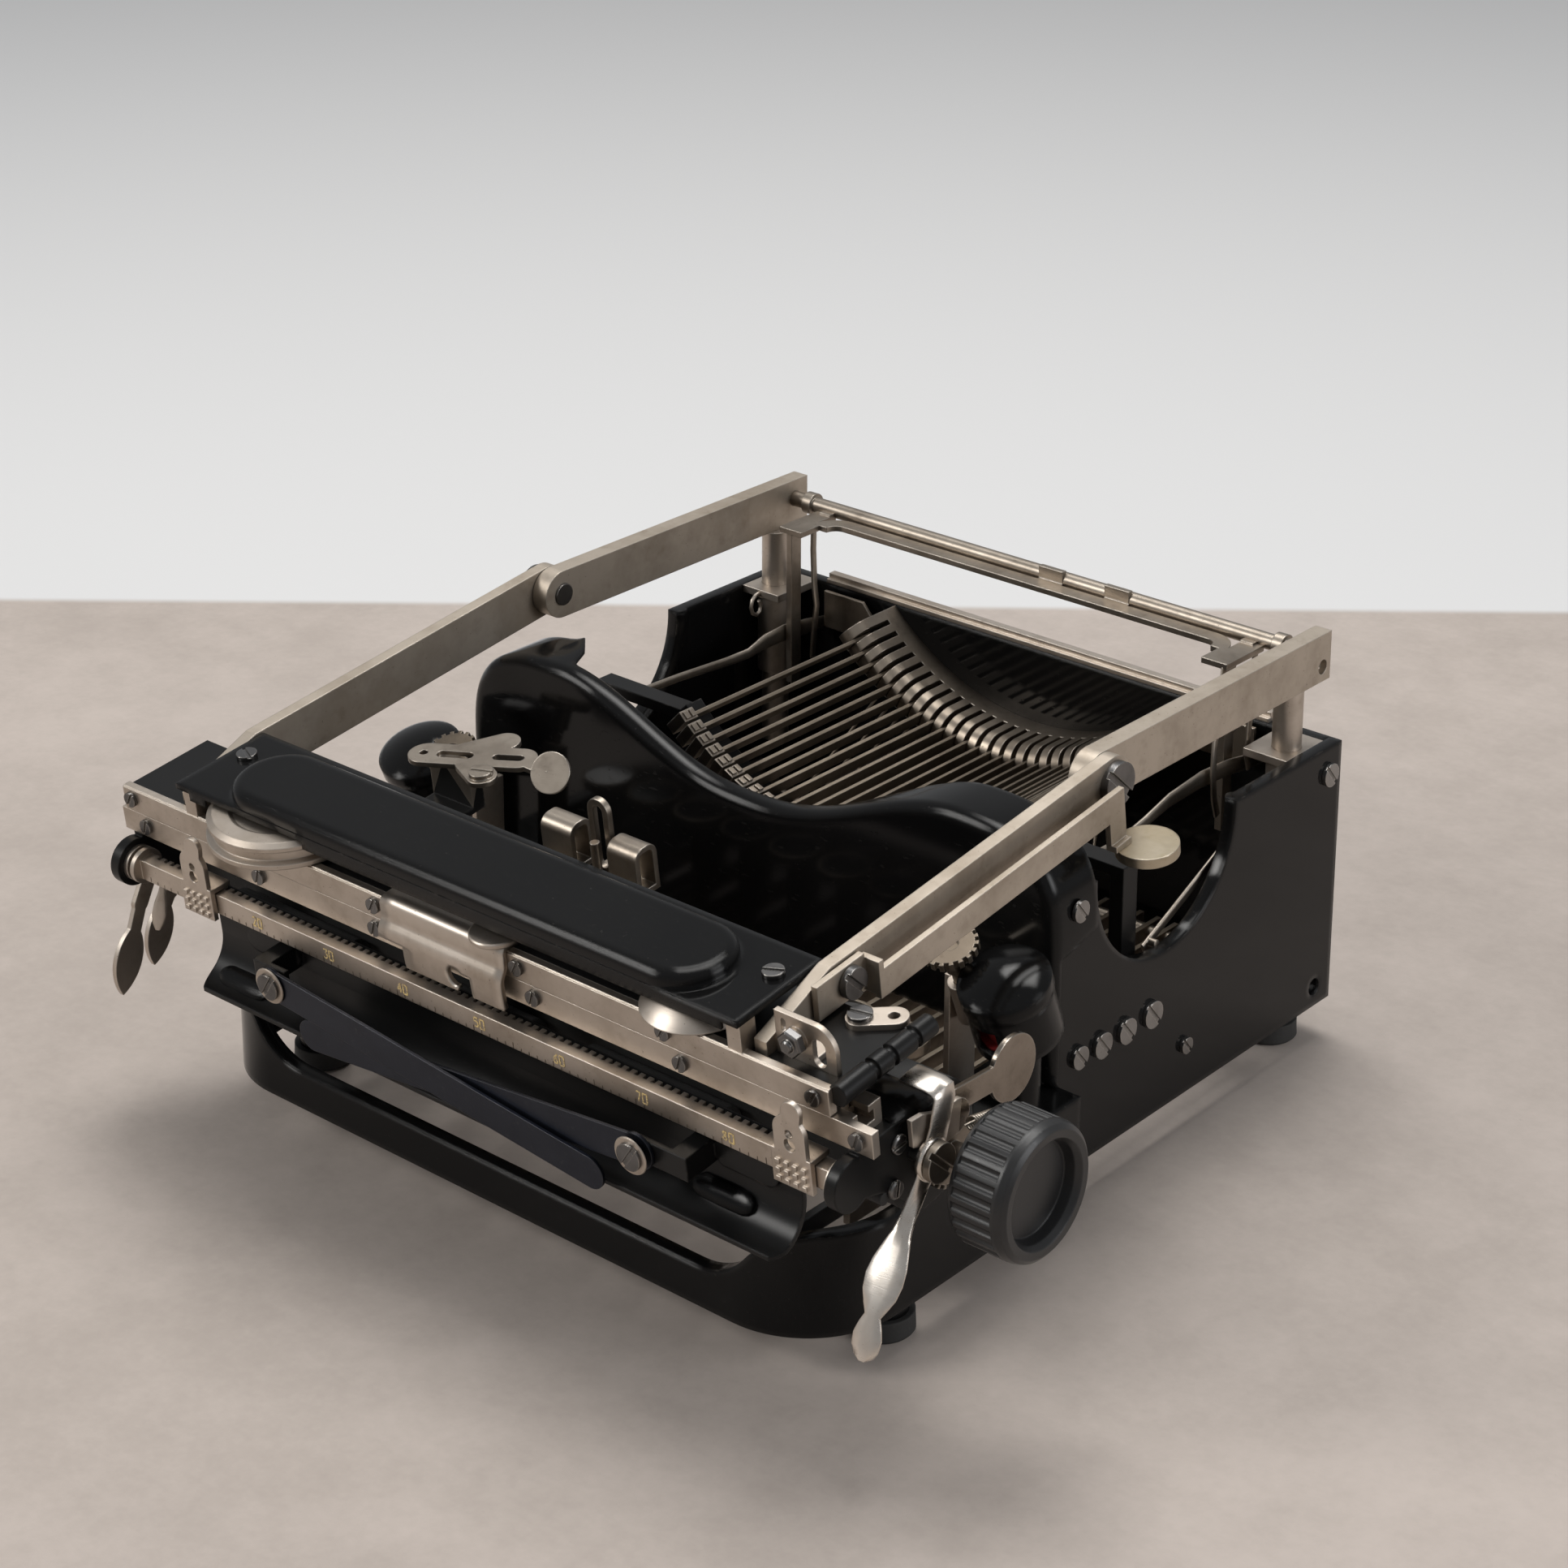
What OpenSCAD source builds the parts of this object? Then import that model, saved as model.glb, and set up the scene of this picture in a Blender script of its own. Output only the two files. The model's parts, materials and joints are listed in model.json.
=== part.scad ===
// Folding portable typewriter, drawn folded: the carriage lies over the keys.
// Millimetres. Right of the machine is +X, its front is -Y, up is +Z.
// Values below are set out from the fold pivot line (y = 0) and the floor (z = 0);
// every node is then moved so that the middle of the footprint is the origin.

/* [Base] */
// Outer width of the rear body
body_w = 193; // [180:1:210]
// Rear face of the body behind the fold pivot
body_y1 = 100.5; // [95:0.5:110]
// Height of the underside above the floor
base_z = 10.5; // [9:0.5:13]
// Height of the top edge of the side walls
body_top = 84.5; // [82:0.5:88]
// Thickness of the side walls
wall = 3.5; // [3:0.25:5]
// Outer width of the keyboard frame
front_w = 208; // [204:1:220]
// Front face of the keyboard frame ahead of the fold pivot
front_y = 116.5; // [112:0.5:122]
// Height of the keyboard frame top edge
front_top = 36; // [34:0.5:38]
// Height of the low front rail
rail_top = 20.5; // [18:0.5:24]
// Radius of the front corners
corner_r = 26; // [18:1:32]
// Radius of the round cut-out in each side wall
cut_r = 30.5; // [26:0.5:32]

/* [Type basket] */
// Number of typebars and keys
bars = 28; // [24:2:28]
// Pivot to type distance of a typebar
bar_len = 75.5; // [74:0.5:77]
// Angle covered by the typebars
fan = 86; // [76:1:86]
// Thickness of a typebar
bar_t = 1; // [0.8:0.1:1.2]

/* [Keyboard] */
// Side distance between key levers
lever_pitch = 5.6; // [5.4:0.1:5.7]
// Diameter of a key
key_d = 14.4; // [13:0.2:14.8]
// Height step between the key banks
bank_rise = 9; // [8:0.5:9.5]
// Depth of a key stroke
key_stroke = 12; // [8:0.5:12]

/* [Ribbon] */
// Lean of the ribbon cups to the front
cup_tilt = 22; // [18:1:26]
// Diameter of a ribbon cup lid
lid_d = 22.6; // [20:0.2:23.4]
// Length of a ribbon cup
cup_len = 17; // [15:0.5:17.5]

/* [Shift frame] */
// Height of the fold pivot
pivot_z = 107.3; // [106:0.1:109]
// Height of the link bars
link_h = 13.2; // [12:0.2:14]
// Thickness of the rear links
link_t = 5; // [4:0.25:5.5]
// Half distance to the outer face of the rear links
link_x = 91.7; // [91:0.1:93]
// Diameter of the shift posts
post_d = 7.8; // [7:0.1:8]
// Lift of the shift frame
shift_lift = 12; // [6:0.5:12]

/* [Carriage] */
// Slope of the folded carriage arms
tilt = 7.7; // [7:0.1:8.2]
// Swing of the carriage from folded to typing
swing = 191; // [190.5:0.1:191.5]
// Half width of the carriage frame
frame_w2 = 115; // [113:0.5:116]
// Left end of the sliding rail
rail_x0 = -117; // [-118:0.5:-116.5]
// Right end of the sliding rail
rail_x1 = 126; // [125:0.5:127]
// Platen distance from the fold pivot along the arms
platen_u = 102; // [101.5:0.1:103]
// Platen distance below the arms
platen_w = 31.5; // [31:0.1:32]
// Platen diameter
platen_d = 30; // [29:0.2:30.4]
// Knob diameter
knob_d = 32; // [28:0.5:33]
// Outer end of the knob
knob_x1 = 150; // [147:0.5:154]
// Mainspring drum diameter
drum_d = 41; // [38:0.5:41]
// Pitch of the rack, one letter
letter = 2.54; // [2.4:0.02:2.6]

/* [Fits] */
// Radial clearance of shafts that turn or slide
run = 0.05; // [0.03:0.01:0.08]
// Clearance of pieces fixed to each other
seat = 0.02; // [0.01:0.01:0.03]
// Clearance between flat faces that move past each other
pass = 0.3; // [0.25:0.05:0.4]

/* [Hidden] */
$fn = 48;
w2 = body_w / 2;
f2 = front_w / 2;
in2 = w2 - wall;
body_y0 = -21.5;
fwall = 4;
cut_y = 22.4;
cut_z = body_top - 0.8;
// Carriage held at the typing position, used to set out the type basket
turn = tilt - swing;
platen_r = platen_d / 2;
print_y = -platen_u * cos(turn) + platen_w * sin(turn) - platen_r;
print_z = pivot_z - platen_u * sin(turn) - platen_w * cos(turn);
slug_up = 4.2;
strike_gap = 0.4;
seg_y = print_y - slug_up - strike_gap;
bar_h = 3.6;
slug_y = seg_y - bar_len;
step = fan / (bars - 1);
live = bars / 2;
// Rear links
link_in = link_x - link_t;
lh2 = link_h / 2;
post_x = link_x - post_d / 2 - 0.1;
post_y = 87.8;
post_r = post_d / 2;
// Front links run outside the rear links
fl0 = link_x + 0.2;
fl1 = fl0 + 3.5;
// Key levers
fulcrum_y = 70;
fulcrum_z = 28.5;
lever_z0 = 26;
lever_z1 = 31;
lever_t = 1.4;
key_y0 = -55;
bank_step = 19;
key_z0 = 56;
// Carriage levels measured from the arm centre line
plate_w1 = -3.4;
saddle_u = -82.8;
esc_x = -49;
esc_w = -0.4;
saddle_w = 0.4;
loop_x = 6.2;
loop_w = 9.2;
loop_r = 3.3;
guide_x0 = -1.1;
guide_x1 = loop_x - loop_r - 0.3;
plate_w0 = -5.4;
cover_w0 = lh2 - 2;
cover_w1 = lh2 - 0.5;
back_u = -129.3;
slide_w1 = -9.1 - pass;
slide_w0 = -15.6;
scale_u0 = -133.6;
scale_u1 = -129.6;
scale_w0 = -25;
scale_w1 = -19.5;
end_l = rail_x0 + 3;
end_r = rail_x1 - 7;
end_t = 3;
drum_x = -63.5;
drum_u = -(98.5 + drum_d / 2);
arm_w = -30.6;
arm_u = -141;
// Ribbon cup lids and feed wheels
spool_x = 97.3;
spool_y = -44;
spool_z = 73.6;
gear_x = spool_x - lid_d / 2 - 3;
gear_y = -46;
gear_z = 77.9;
lid_r = lid_d / 2;
cup_r = lid_r - 0.5;
// Extents that set the origin
left_x = end_l - 5.5;
mid_x = (knob_x1 + left_x) / 2;
front_u = arm_u - 2.6;
arm_head = 3.4;
front_edge = front_u * cos(tilt) - (arm_w + arm_head) * sin(tilt);
rear_edge = max(body_y1, 100.6);
mid_y = (rear_edge + front_edge) / 2;

// Box from limits
module bx(x0, x1, y0, y1, z0, z1) {
  translate([x0, y0, z0]) cube([x1 - x0, y1 - y0, z1 - z0]);
}
// Round bar along X
module rx(x0, x1, y, z, r) {
  translate([x0, y, z]) rotate([0, 90, 0]) cylinder(h = x1 - x0, r = r);
}
// Round bar along Y
module ry(y0, y1, x, z, r) {
  translate([x, y0, z]) rotate([-90, 0, 0]) cylinder(h = y1 - y0, r = r);
}
// Flat shape given in (y, z), thickened from x0 to x1
module yz(x0, x1) {
  translate([x0, 0, 0]) rotate([90, 0, 90]) linear_extrude(height = x1 - x0) children();
}
// Flat shape given in (x, z), thickened from y0 to y1
module xz(y0, y1) {
  translate([0, y1, 0]) rotate([90, 0, 0]) linear_extrude(height = y1 - y0) children();
}
module both() {
  children();
  mirror([1, 0, 0]) children();
}
// Whole machine moved to its origin
module place() {
  translate([-mid_x, -mid_y, 0]) children();
}
// Pieces of the folding carriage, set out along the arms
module fold() {
  translate([0, 0, pivot_z]) rotate([tilt, 0, 0]) children();
}
// Bar with two round ends in a flat shape
module strip(ax, ay, bx2, by2, r) {
  len = sqrt((bx2 - ax) * (bx2 - ax) + (by2 - ay) * (by2 - ay));
  translate([ax, ay]) rotate(atan2(by2 - ay, bx2 - ax)) {
    translate([0, -r]) square([len, 2 * r]);
    circle(r = r);
    translate([len, 0]) circle(r = r);
  }
}
// Slotted screw head lying on a face, axis along +Z
// Leaf of half length a and half width b
module leaf(x, y, dir, a, b) {
  r = (a * a + b * b) / (2 * b);
  translate([x, y]) rotate(dir) intersection() {
    translate([0, r - b]) circle(r = r, $fn = 96);
    translate([0, b - r]) circle(r = r, $fn = 96);
  }
}
module screw_head(r, h) {
  difference() {
    cylinder(h = h, r = r);
    translate([-r - 1, -0.16 * r, h * 0.55]) cube([2 * r + 2, 0.32 * r, h]);
  }
}
module head_x(x, y, z, r, h, a = 40) {
  translate([x, y, z]) rotate([0, 90, 0]) rotate(a) screw_head(r, h);
}
module head_front(x, y, z, r, h, a = 30) {
  translate([x, y, z]) rotate([90, 0, 0]) rotate(a) screw_head(r, h);
}

// Keyboard frame outline with round front corners
module front_outline(half, y0, y1, r) {
  translate([-half, y0 + r]) square([2 * half, y1 - y0 - r]);
  translate([-half + r, y0]) square([2 * half - 2 * r, r + 1]);
  translate([-half + r, y0 + r]) circle(r = r);
  translate([half - r, y0 + r]) circle(r = r);
}
// Dip in the front rail, with its ends swept up to the corners
module rail_dip() {
  d = front_top - rail_top;
  h = d;
  r = (h * h + d * d / 4) / d;
  zm = rail_top + d / 2;
  x0 = f2 - corner_r - 12;
  translate([-x0, rail_top]) square([2 * x0, 60]);
  for (s = [0, 1]) mirror([s, 0]) {
    intersection() {
      translate([x0, rail_top + r]) circle(r = r);
      translate([x0 - 1, rail_top]) square([h + 1, d / 2]);
    }
    translate([x0 - 1, zm]) square([h + 1, 60]);
    difference() {
      translate([x0 + h, zm]) square([h, 60]);
      translate([x0 + 2 * h, front_top - r]) circle(r = r);
    }
  }
}
module foot_spots() {
  for (s = [-1, 1]) {
    translate([s * (in2 - 8), body_y1 - 11, 0]) children();
    translate([s * (f2 - 9.5), -83.5, 0]) children();
  }
}
pad_foot = 7.4;
module front_spots() {
  for (s = [-1, 1]) translate([s * (f2 - 9.5), -83.5, 0]) children();
}
module rear_spots() {
  for (s = [-1, 1]) translate([s * (in2 - 8), body_y1 - 11, 0]) children();
}
module keyboard_frame() color([0.03, 0.03, 0.03]) place() difference() {
  union() {
    difference() {
      translate([0, 0, base_z]) linear_extrude(height = front_top - base_z) difference() {
        front_outline(f2, -front_y, body_y0, corner_r);
        front_outline(f2 - fwall, -front_y + fwall, body_y0 - fwall, corner_r - fwall);
      }
      xz(-front_y - 5, -front_y + corner_r + 6) rail_dip();
      bx(-in2, in2, body_y0 - fwall - 1, body_y0 + 1, base_z - 1, front_top + 1);
    }
    // Shelf under each ribbon cup
    both() bx(gear_x - 6, f2 - 1, spool_y - 15, body_y0, front_top - 3, front_top);
    front_spots() translate([0, 0, base_z]) cylinder(h = 3.5, r = pad_foot);
  }
  front_spots() translate([0, 0, base_z - 1]) cylinder(h = 6, r = 2);
}
module side_walls() color([0.03, 0.03, 0.03]) place() both() difference() {
  union() {
    bx(in2, w2, body_y0, body_y1, base_z, body_top);
    // Rolled lip round the cut-out
    intersection() {
      translate([w2 - 2.2, cut_y, cut_z]) rotate([0, 90, 0]) rotate_extrude()
        translate([cut_r + 1, 0]) circle(r = 2.2);
      bx(0, w2 + 5, cut_y - cut_r - 4, cut_y + cut_r + 4, cut_z - cut_r - 4, body_top);
    }
    // Boss for the fulcrum rod
    rx(in2 - 2, in2 + 1, fulcrum_y, fulcrum_z, 5);
  }
  rx(in2 - wall, w2 + 1, cut_y, cut_z, cut_r - 1.2);
  rx(in2 - 1, w2 + 1, body_y1 - 7.6, 16.2, 2.4);
  rx(in2 - 3, in2 + 1.5, fulcrum_y, fulcrum_z, 2 + seat);
}
module feet() color([0.02, 0.02, 0.02]) place() foot_spots() difference() {
  rotate_extrude() polygon([[0, 0], [7, 0], [7.8, 0.8], [7.6, 5.5], [0, 5.5]]);
  translate([0, 0, -1]) cylinder(h = 3, r = 3);
}
module foot_cups() color([0.04, 0.04, 0.04]) place() foot_spots() {
  translate([0, 0, 5.5]) cylinder(h = 1.6, r = 6.2);
  intersection() {
    translate([0, 0, 5.4]) scale([1, 1, 1]) sphere(r = 6.4);
    translate([0, 0, 7]) cylinder(h = base_z - 7, r = 7);
  }
  translate([0, 0, base_z - 1]) cylinder(h = 5, r = 2 - seat);
}
module rear_plate() color([0.03, 0.03, 0.03]) place() difference() {
  union() {
    bx(-in2, in2, body_y1 - 3.5, body_y1, base_z, body_top);
    // Floor flange with the pads of the rear feet
    bx(-in2, in2, body_y1 - 13, body_y1 - 3.5, base_z, base_z + 3.5);
    rear_spots() translate([0, 0, base_z]) cylinder(h = 3.5, r = pad_foot);
  }
  rear_spots() translate([0, 0, base_z - 1]) cylinder(h = 6, r = 2);
}
module rear_bar() color([0.6, 0.57, 0.52]) place() {
  bx(-76, 76, body_y1 - 3.5, body_y1, body_top, body_top + 1.2);
  bx(-76, 76, body_y1 - 2.4, body_y1, body_top + 1.2, body_top + 2.6);
}

// Shield in front of the type basket
shield_y0 = body_y0 - 3.4;
shield_low = 82;
dip_r = 74;
shoulder_x = 70;
shoulder_z = 78;
shoulder_r = 22;
lip = 1.7;
module shield_flat() {
  translate([-w2, 44]) square([2 * w2, 24]);
  translate([-w2 + 6, 60]) square([2 * w2 - 12, shoulder_z - 60]);
  for (s = [-1, 1]) translate([s * shoulder_x, shoulder_z]) circle(r = shoulder_r - lip);
  difference() {
    translate([-shoulder_x, 60]) square([2 * shoulder_x, shoulder_z + shoulder_r - lip - 60]);
    translate([0, shield_low + dip_r]) circle(r = dip_r + lip);
  }
}
module front_shield() color([0.02, 0.02, 0.02]) place() {
  xz(shield_y0, body_y0) shield_flat();
  ym = (shield_y0 + body_y0) / 2;
  // Rounded lip of the dip
  intersection() {
    translate([0, ym, shield_low + dip_r]) rotate([90, 0, 0]) rotate_extrude()
      translate([dip_r + lip, 0]) circle(r = lip);
    bx(-52, 52, ym - 5, ym + 5, 60, 105);
  }
  // Rounded shoulders
  both() intersection() {
    translate([shoulder_x, ym, shoulder_z]) rotate([90, 0, 0]) rotate_extrude()
      translate([shoulder_r - lip, 0]) circle(r = lip);
    bx(50, w2 + 5, ym - 5, ym + 5, shoulder_z - 8, 105);
  }
  // Deep rim of the dip
  intersection() {
    translate([0, body_y0 + 8, shield_low + dip_r]) rotate([90, 0, 0]) rotate_extrude()
      translate([dip_r, 0]) square([1.8, 8]);
    bx(-56, 56, body_y0 - 1, body_y0 + 9, 60, shield_low + 25);
  }
  // Pointed ear at the left end of the rim
  mirror([1, 0, 0]) xz(shield_y0 + 1, body_y0 + 8) difference() {
    polygon([[46, 97], [57, 109], [68, 99.5], [60, 90]]);
    translate([0, shield_low + dip_r]) circle(r = dip_r);
    translate([66.2, 109.4]) circle(r = 9.6);
  }
  // Side flanges over the front uprights of the body
  both() bx(w2, w2 + 1.2, shield_y0, -9, 70, body_top);
  both() bx(w2 - 3, w2 + 1.2, shield_y0, body_y0, 70, body_top);
}

// Type basket
module basket_axis() {
  translate([0, 0, print_z]) rotate([-90, 0, 0]) children();
}
module basket_wedge(a) {
  l = 200;
  xz(-50, 150) translate([0, print_z]) polygon([[0, 0], [-l * sin(a), -l * cos(a)], [0, -l],
    [l * sin(a), -l * cos(a)]]);
}
module at_bar(i) {
  translate([0, 0, print_z]) rotate([0, -(i * step - fan / 2), 0]) children();
}
module type_segment() color([0.6, 0.57, 0.52]) place() {
  nose = 5.5;
  difference() {
    intersection() {
      basket_axis() rotate_extrude() {
        translate([bar_len - nose, seg_y]) square([2 * nose, body_y1 - 3.5 - seg_y]);
        translate([bar_len, seg_y]) circle(r = nose);
      }
      basket_wedge(fan / 2 + 3);
    }
    for (i = [0:bars - 1]) at_bar(i)
      bx(-bar_t / 2 - 0.25, bar_t / 2 + 0.25, seg_y - 8, seg_y + 7, -bar_len - 3.4, -bar_len + 9);
  }
  // Curved wire that the bars turn on
  intersection() {
    basket_axis() rotate_extrude() translate([bar_len, seg_y]) circle(r = 0.8);
    basket_wedge(fan / 2 + 3);
  }
  // Fixing lugs at both ends
  both() difference() {
    bx(50, 74, body_y1 - 7, body_y1 - 3.5 - 2.5, body_top - 12, body_top - 1);
    basket_axis() cylinder(h = 120, r = bar_len + 2);
  }
}
module typebar() {
  difference() {
    bx(-bar_t / 2, bar_t / 2, slug_y, seg_y + 2, -bar_len - bar_h / 2, -bar_len + bar_h / 2);
    rx(-2, 2, seg_y, -bar_len, 0.9);
  }
  bx(-1.6, 1.6, slug_y - 2.5, slug_y + 2.5, -bar_len - 3.2, -bar_len + slug_up - 0.7);
  bx(-1.1, 1.1, slug_y - 1.9, slug_y - 0.3, -bar_len + slug_up - 0.8, -bar_len + slug_up);
  bx(-1.1, 1.1, slug_y + 0.4, slug_y + 1.9, -bar_len + slug_up - 0.8, -bar_len + slug_up);
}
module typebars() color([0.35, 0.33, 0.3]) place() {
  for (i = [0:bars - 1]) if (i != live) at_bar(i) typebar();
}
module live_typebar() color([0.35, 0.33, 0.3]) place() at_bar(live) typebar();
module type_rest() color([0.5, 0.47, 0.42]) place() {
  r0 = bar_len + bar_h / 2 + 0.05;
  y0 = slug_y + 6;
  intersection() {
    translate([0, y0, 0]) basket_axis() difference() {
      cylinder(h = 6, r = r0 + 3);
      translate([0, 0, -1]) cylinder(h = 8, r = r0);
    }
    basket_wedge(fan / 2 + 3);
  }
  ex = (r0 + 1.5) * sin(fan / 2 + 2);
  ez = print_z - (r0 + 1.5) * cos(fan / 2 + 2);
  both() {
    bx(ex - 1.5, in2 - 4, y0, y0 + 6, ez - 3, ez);
    bx(in2 - 8, in2 - 4, y0, y0 + 6, 44, ez);
    bx(in2 - 8, in2, y0, y0 + 6, 44, 48);
  }
}

// Keys
function key_x(i) = (i - (bars - 1) / 2) * lever_pitch;
// The arms of the space bar and shift keys share the room between the last lever and the side wall
last_x = key_x(bars - 1);
arm_room = in2 - last_x;
arm_t = 0.115 * arm_room;
space_x = last_x + 0.391 * arm_room;
shift_x = last_x + 0.621 * arm_room;
function key_y(i) = key_y0 - bank_step * (i % 3);
function key_z(i) = key_z0 - bank_rise * (i % 3);
live_i = live - (live % 3) + 1;
module key_lever(i) {
  x = key_x(i);
  y = key_y(i);
  z = key_z(i);
  difference() {
    bx(x - lever_t / 2, x + lever_t / 2, y - 3, fulcrum_y + 5, lever_z0, lever_z1);
    rx(x - 2, x + 2, fulcrum_y, fulcrum_z, 2 + run);
  }
  bx(x - lever_t / 2, x + lever_t / 2, y - 3, y + 3, lever_z1 - 1, z - 2.4);
  translate([x, y, z - 2.6]) difference() {
    cylinder(h = 2.6, r = key_d / 2);
    translate([0, 0, 0.8]) cylinder(h = 3, r = key_d / 2 - 0.9);
  }
}
module key_face(i) {
  translate([key_x(i), key_y(i), key_z(i) - 1.8]) cylinder(h = 1.5, r = key_d / 2 - 0.9 - seat);
}
module key_levers() color([0.55, 0.53, 0.5]) place() {
  for (i = [0:bars - 1]) if (i != live_i) key_lever(i);
}
module key_faces() color([0.06, 0.06, 0.06]) place() {
  for (i = [0:bars - 1]) if (i != live_i) key_face(i);
}
module live_key() color([0.55, 0.53, 0.5]) place() key_lever(live_i);
module live_key_face() color([0.06, 0.06, 0.06]) place() key_face(live_i);
module lever_comb() color([0.5, 0.48, 0.45]) place() {
  rx(-in2 + 0.5, in2 - 0.5, fulcrum_y, fulcrum_z, 2);
  difference() {
    bx(-f2 + fwall, f2 - fwall, -31, -29.5, 14, 32.5);
    for (i = [0:bars - 1]) bx(key_x(i) - 1.2, key_x(i) + 1.2, -32, -29, 15.6, 40);
    both() bx(last_x + 0.3 * arm_room, f2 - fwall - 1.5, -32, -29, 15.6, 40);
  }
}
module space_bar() color([0.04, 0.04, 0.04]) place() {
  bx(-58, 58, -110.5, -101.5, 27, 33);
  both() bx(50, space_x + arm_t, -105, -103, 26, 31);
  both() difference() {
    bx(space_x, space_x + arm_t, -105, fulcrum_y + 5, 26, 31);
    rx(space_x - 1, space_x + 3, fulcrum_y, fulcrum_z, 2 + run);
  }
}
module shift_keys() color([0.5, 0.48, 0.45]) place() both() {
  difference() {
    bx(shift_x, shift_x + arm_t, -88, fulcrum_y + 12, 26, 31);
    rx(shift_x - 1, shift_x + 3, fulcrum_y, fulcrum_z, 2 + run);
  }
  bx(shift_x, shift_x + arm_t, -88, -82, 30, 38.2);
  translate([shift_x + 6, -85, 38]) cylinder(h = 2.4, r = 6.6);
}

// Ribbon cups, set out from the rim of the lid with the axis leaning to the front
module at_cup(s) {
  translate([s * spool_x, spool_y, spool_z]) rotate([cup_tilt, 0, 0]) children();
}
module at_gear(s) {
  translate([s * gear_x, gear_y, gear_z]) rotate([cup_tilt, 0, 0]) children();
}
dome = 3;
dome_r = (lid_r * lid_r + dome * dome) / (2 * dome);
module spool_cups() color([0.02, 0.02, 0.02]) place() for (s = [-1, 1]) difference() {
  union() {
    at_cup(s) {
      intersection() {
        translate([0, 0, dome - dome_r]) sphere(r = dome_r, $fn = 96);
        cylinder(h = 10, r = lid_r);
      }
      translate([0, 0, -3.6]) cylinder(h = 3.6, r = lid_r);
      translate([0, 0, -4.2]) cylinder(h = 1, r = cup_r - 0.6);
      translate([0, 0, -cup_len]) cylinder(h = cup_len - 4.2, r = cup_r);
    }
    // Pedestal on the shelf
    translate([s * spool_x, spool_y + 8, front_top]) cylinder(h = 24, r = 4.4);
  }
  at_cup(s) {
    translate([0, 0, 1.6 - cup_len]) cylinder(h = cup_len - 3, r = cup_r - 1);
    translate([-3, -cup_r - 5, 3 - cup_len]) cube([6, 8, 7]);
  }
}
module reel() {
  translate([0, 0, 1.8 - cup_len]) cylinder(h = cup_len - 3.4, r = 2);
  translate([0, 0, 2 - cup_len]) cylinder(h = 0.8, r = cup_r - 1.5);
  translate([0, 0, cup_len * 0.7 - cup_len]) cylinder(h = 0.8, r = cup_r - 1.5);
  translate([0, 0, 2.4 - cup_len]) cylinder(h = cup_len * 0.7 - 2.4, r = cup_r - 3.4);
}
module spool_left() color([0.45, 0.06, 0.06]) place() at_cup(-1) reel();
module spool_right() color([0.45, 0.06, 0.06]) place() at_cup(1) reel();
gear_shaft = 24;
module gear() {
  difference() {
    translate([0, 0, -1]) cylinder(h = 2, r = 7);
    for (a = [0:20:359]) rotate(a) translate([6.1, -0.6, -2]) cube([3, 1.2, 4]);
    translate([0, 0, 0.2]) cylinder(h = 2, r = 2.2);
  }
  translate([0, 0, -7]) cylinder(h = 6.2, r = 2.5);
  translate([0, 0, -gear_shaft]) cylinder(h = gear_shaft, r = 1.6);
}
module gear_left() color([0.55, 0.52, 0.47]) place() at_gear(-1) gear();
module gear_right() color([0.55, 0.52, 0.47]) place() at_gear(1) gear();

// Shift posts and their guides
module post_bushings() color([0.6, 0.57, 0.52]) place() {
  both() difference() {
    union() {
      bx(post_x - 8, in2, post_y - 8, body_y1 - 3.5, body_top - 2.2, body_top);
      translate([post_x, post_y, 58]) cylinder(h = body_top - 58, r = post_r + 1.2);
    }
    translate([post_x, post_y, 50]) cylinder(h = 60, r = post_r + run);
  }
  // Brackets of the feed wheels
  for (s = [-1, 1]) difference() {
    union() {
      bx(s > 0 ? gear_x - 4.6 : -gear_x + 3, s > 0 ? gear_x - 3 : -gear_x + 4.6,
        gear_y + 4, gear_y + 14, front_top, gear_z - 10);
      at_gear(s) translate([0, 0, 1 - gear_shaft]) cylinder(h = 12, r = 3.2);
    }
    at_gear(s) translate([0, 0, -gear_shaft - 2]) cylinder(h = 20, r = 1.6 + run);
  }
}
module shift_posts() color([0.62, 0.6, 0.55]) place() both()
  translate([post_x, post_y, 36]) cylinder(h = pivot_z - lh2 - 36, r = post_r);
module rear_links() color([0.62, 0.59, 0.54]) place() both() difference() {
  yz(link_in, link_x) {
    translate([0, pivot_z - lh2]) square([100.6, link_h]);
    translate([0, pivot_z]) circle(r = lh2);
  }
  rx(link_in - 1, link_x + 1, 0, pivot_z, 3 + run);
  rx(link_x - 2, link_x + 1, 97, pivot_z - 2.5, 2);
  rx(link_in - 1, link_in + 2.4, 95.2, pivot_z + 1, 2.2 + seat);
}
rod_y = 95.2;
rod_z = pivot_z + 1;
module cross_rod() color([0.58, 0.55, 0.5]) place() {
  rx(-link_in - 2, link_in + 2, rod_y, rod_z, 2.2);
  both() rx(link_in - 8, link_in - 5, rod_y, rod_z, 3.2);
}
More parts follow.
